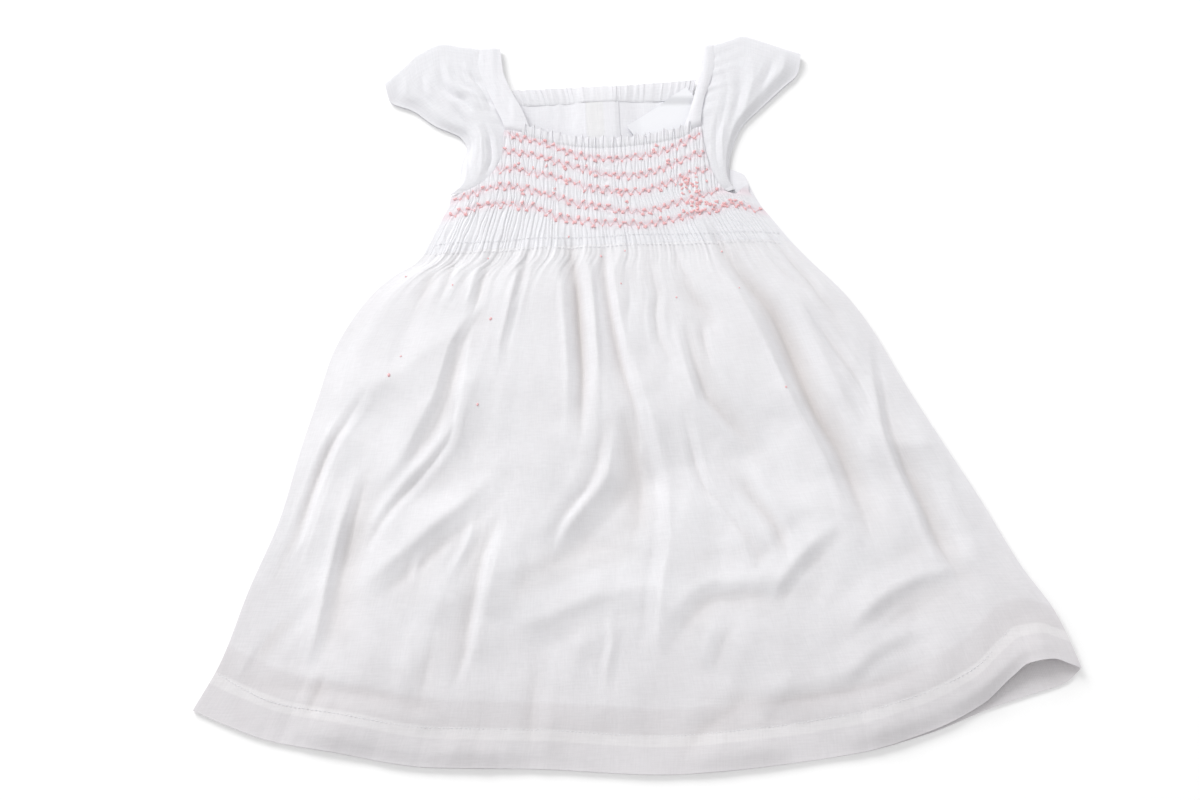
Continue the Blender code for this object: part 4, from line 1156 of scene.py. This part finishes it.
def makeSmockingStitches():
    # a knot at every turn of a zigzag, and a thin strand from knot to knot
    centres, starts, ends = [], [], []
    for row in smockRows:
        line = np.array(row)
        count = int((line[-1, 0] - line[0, 0]) / embroidery["spacing"])
        x = np.linspace(line[0, 0] + 0.0012, line[-1, 0] - 0.0012, count) + rng.normal(0, 0.00045, count)
        y = byX(row, x) + embroidery["zigzag"] * np.where(np.arange(count) % 2, -1, 1)
        y = y + rng.normal(0, 0.00065, count)
        points = onFront(x, y, 0.0002)
        kept = rng.random(count) > 0.06
        centres.append(points[kept])
        starts.append(points[:-1])
        ends.append(points[1:])
    spread = embroidery["extra"]
    extra = np.concatenate([
        np.stack([rng.uniform(0.047, 0.068, spread), rng.uniform(0.138, 0.152, spread)], -1),
        np.stack([rng.uniform(0.049, 0.074, spread), rng.uniform(0.1225, 0.131, spread)], -1),
        np.stack([rng.uniform(-0.070, 0.066, spread), rng.uniform(0.118, 0.185, spread)], -1),
        np.stack([rng.uniform(0.078, 0.092, 9), rng.uniform(0.126, 0.134, 9)], -1),
    ])
    centres = np.concatenate([*centres, onFront(extra[:, 0], extra[:, 1], 0.0002)])
    sizes = embroidery["knot"] * rng.uniform(0.72, 1.15, len(centres))
    lobes, lobeSizes = [centres], [sizes]
    for _ in range(2):
        around = rng.uniform(0, 2 * np.pi, len(sizes))
        aside = np.stack([np.cos(around), 0.8 * np.sin(around), 0 * around], -1) * embroidery["lobe"]
        chosen = rng.random(len(sizes)) < 0.75
        lobes.append((centres + aside)[chosen])
        lobeSizes.append(0.72 * sizes[chosen])
    centres, sizes = np.concatenate(lobes), np.concatenate(lobeSizes)
    scatterBuds("smocking_rosebuds", centres, sizes, rng.uniform(0, np.pi, len(centres)), floss)
    below = np.array([0, 0, 0.0002])
    threadRuns("smocking_strands", np.concatenate(starts) - below, np.concatenate(ends) - below,
                         embroidery["strand"], paleFloss)


def makeScatteredKnots():
    # small knots worked here and there on the skirt
    spots = np.array([(-0.148, 0.083), (-0.115, 0.073), (-0.089, 0.046), (-0.151, 0.021), (-0.159, 0.007),
                      (-0.099, -0.017), (-0.011, 0.091), (0.002, 0.068), (0.040, 0.057), (0.084, 0.062),
                      (0.110, -0.014), (-0.090, 0.093), (0.074, 0.092), (0.006, 0.094), (-0.033, 0.107)])
    sizes = np.array([0.8, 0.8, 1.3, 0.8, 1.4, 1.1, 1.1, 0.7, 0.8, 0.6, 0.9, 0.7, 0.9, 0.8, 0.9]) / 1000
    centres = onFront(spots[:, 0], spots[:, 1], 0.0001)
    scatterBuds("scattered_knots", centres, sizes, rng.uniform(0, np.pi, len(spots)), floss)


def makeGatheringStitches():
    # white running stitches along the two gathering rows
    starts, ends = [], []
    for rowY in gatherRows:
        x = np.arange(-0.128, 0.116, 0.0031)
        y = rowY + 0.0006 * np.sin(x * 90)
        starts.append(onFront(x, y, 0.0001))
        ends.append(onFront(x + 0.0021, y, 0.0001))
    threadRuns("gathering_stitches", np.concatenate(starts), np.concatenate(ends), 0.0002,
                      whiteThread)


def makeHemStitches():
    # one row of small stitches that holds the turned hem
    hemX = np.linspace(hemFront[0][0] + 0.003, hemFront[-1][0] - 0.04, 190)
    starts, ends = [], []
    for offset, out in ((0.0, starts), (0.0018, ends)):
        y = byX(hemFront, hemX + offset) + 0.0242
        left, right = byFallingY(sideLeft, y), byFallingY(sideRight, y)
        across = (hemX + offset - hemFront[0][0]) / (hemFront[-1][0] - hemFront[0][0])
        out.append(onFront(left + (right - left) * across, y, 0.0))
    threadRuns("hem_stitches", starts[0], ends[0], 0.00022, whiteThread, bow=0.0002,
                      sides=4, steps=3)


makeSmockingStitches()
makeScatteredKnots()
makeGatheringStitches()
makeHemStitches()
print("embroidery made")

for node in ("button_1", "button_2", "button_3"):
    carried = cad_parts[node]
    carried.data.materials.clear()
    carried.data.materials.append(buttonPearl)


def makeFloor():
    # one pale sheet of paper with a slow grain, a little below the cloth
    mesh = bpy.data.meshes.new("floor")
    reach, z = 4.0, -0.0006
    corners = [(-reach, -reach, z), (reach, -reach, z), (reach, reach, z), (-reach, reach, z)]
    mesh.from_pydata(corners, [], [(0, 1, 2, 3)])
    floor = bpy.data.objects.new("floor", mesh)
    bpy.context.scene.collection.objects.link(floor)
    material, nodes, links, shader = newMaterial("paper_floor")
    grain = addNode(nodes, "ShaderNodeTexNoise", dict(Scale=3.0))
    ramp = addNode(nodes, "ShaderNodeMapRange", {"To Min": 0.93, "To Max": 0.95})
    shader.inputs["Emission Color"].default_value = (1, 1, 1, 1)
    shader.inputs["Emission Strength"].default_value = 0.12
    links.new(grain.outputs["Fac"], ramp.inputs["Value"])
    links.new(ramp.outputs["Result"], shader.inputs["Base Color"])
    shader.inputs["Roughness"].default_value = 0.95
    shader.inputs["Specular IOR Level"].default_value = 0.1
    mesh.materials.append(material)


def addLight(name, place, size, power, aim):
    # a square lamp at the place, facing the aim
    data = bpy.data.lights.new(name, "AREA")
    data.shape = "SQUARE"
    data.size = size
    data.energy = power
    light = bpy.data.objects.new(name, data)
    light.location = place
    light.rotation_euler = (Vector(aim) - Vector(place)).to_track_quat("-Z", "Y").to_euler()
    bpy.context.scene.collection.objects.link(light)


def makeStage():
    # the floor, a large window behind the left shoulder, a weak fill, and white all round
    makeFloor()
    addLight("windowLight", (-1.90, 3.10, 2.35), 2.2, 124.0, (0.0, 0.02, 0.0))
    addLight("fillLight", (-0.6, -1.4, 1.6), 1.6, 3.0, (0.0, 0.0, 0.0))
    world = bpy.data.worlds.new("studio")
    world.use_nodes = True
    sky = world.node_tree.nodes["Background"]
    sky.inputs["Color"].default_value = (1, 1, 1, 1)
    sky.inputs["Strength"].default_value = 0.635
    bpy.context.scene.world = world
    bpy.context.scene.view_settings.view_transform = "Standard"


# where the camera stands: degrees above the floor and round the dress, metres from the aim
view = dict(lens=50, elevation=70, azimuth=-2.4, distance=1.14, aim=(-0.016, -0.013, 0.0))


def makeCamera():
    # the camera stands back from the aim along the view's two angles
    el, az = math.radians(view["elevation"]), math.radians(view["azimuth"])
    back = Vector((math.sin(az) * math.cos(el), -math.cos(az) * math.cos(el), math.sin(el)))
    data = bpy.data.cameras.new("camera")
    data.lens = view["lens"]
    camera = bpy.data.objects.new("camera", data)
    camera.location = Vector(view["aim"]) + back * view["distance"]
    camera.rotation_euler = (-back).to_track_quat("-Z", "Y").to_euler()
    bpy.context.scene.collection.objects.link(camera)
    bpy.context.scene.camera = camera


makeStage()
makeCamera()
print("stage and camera made")
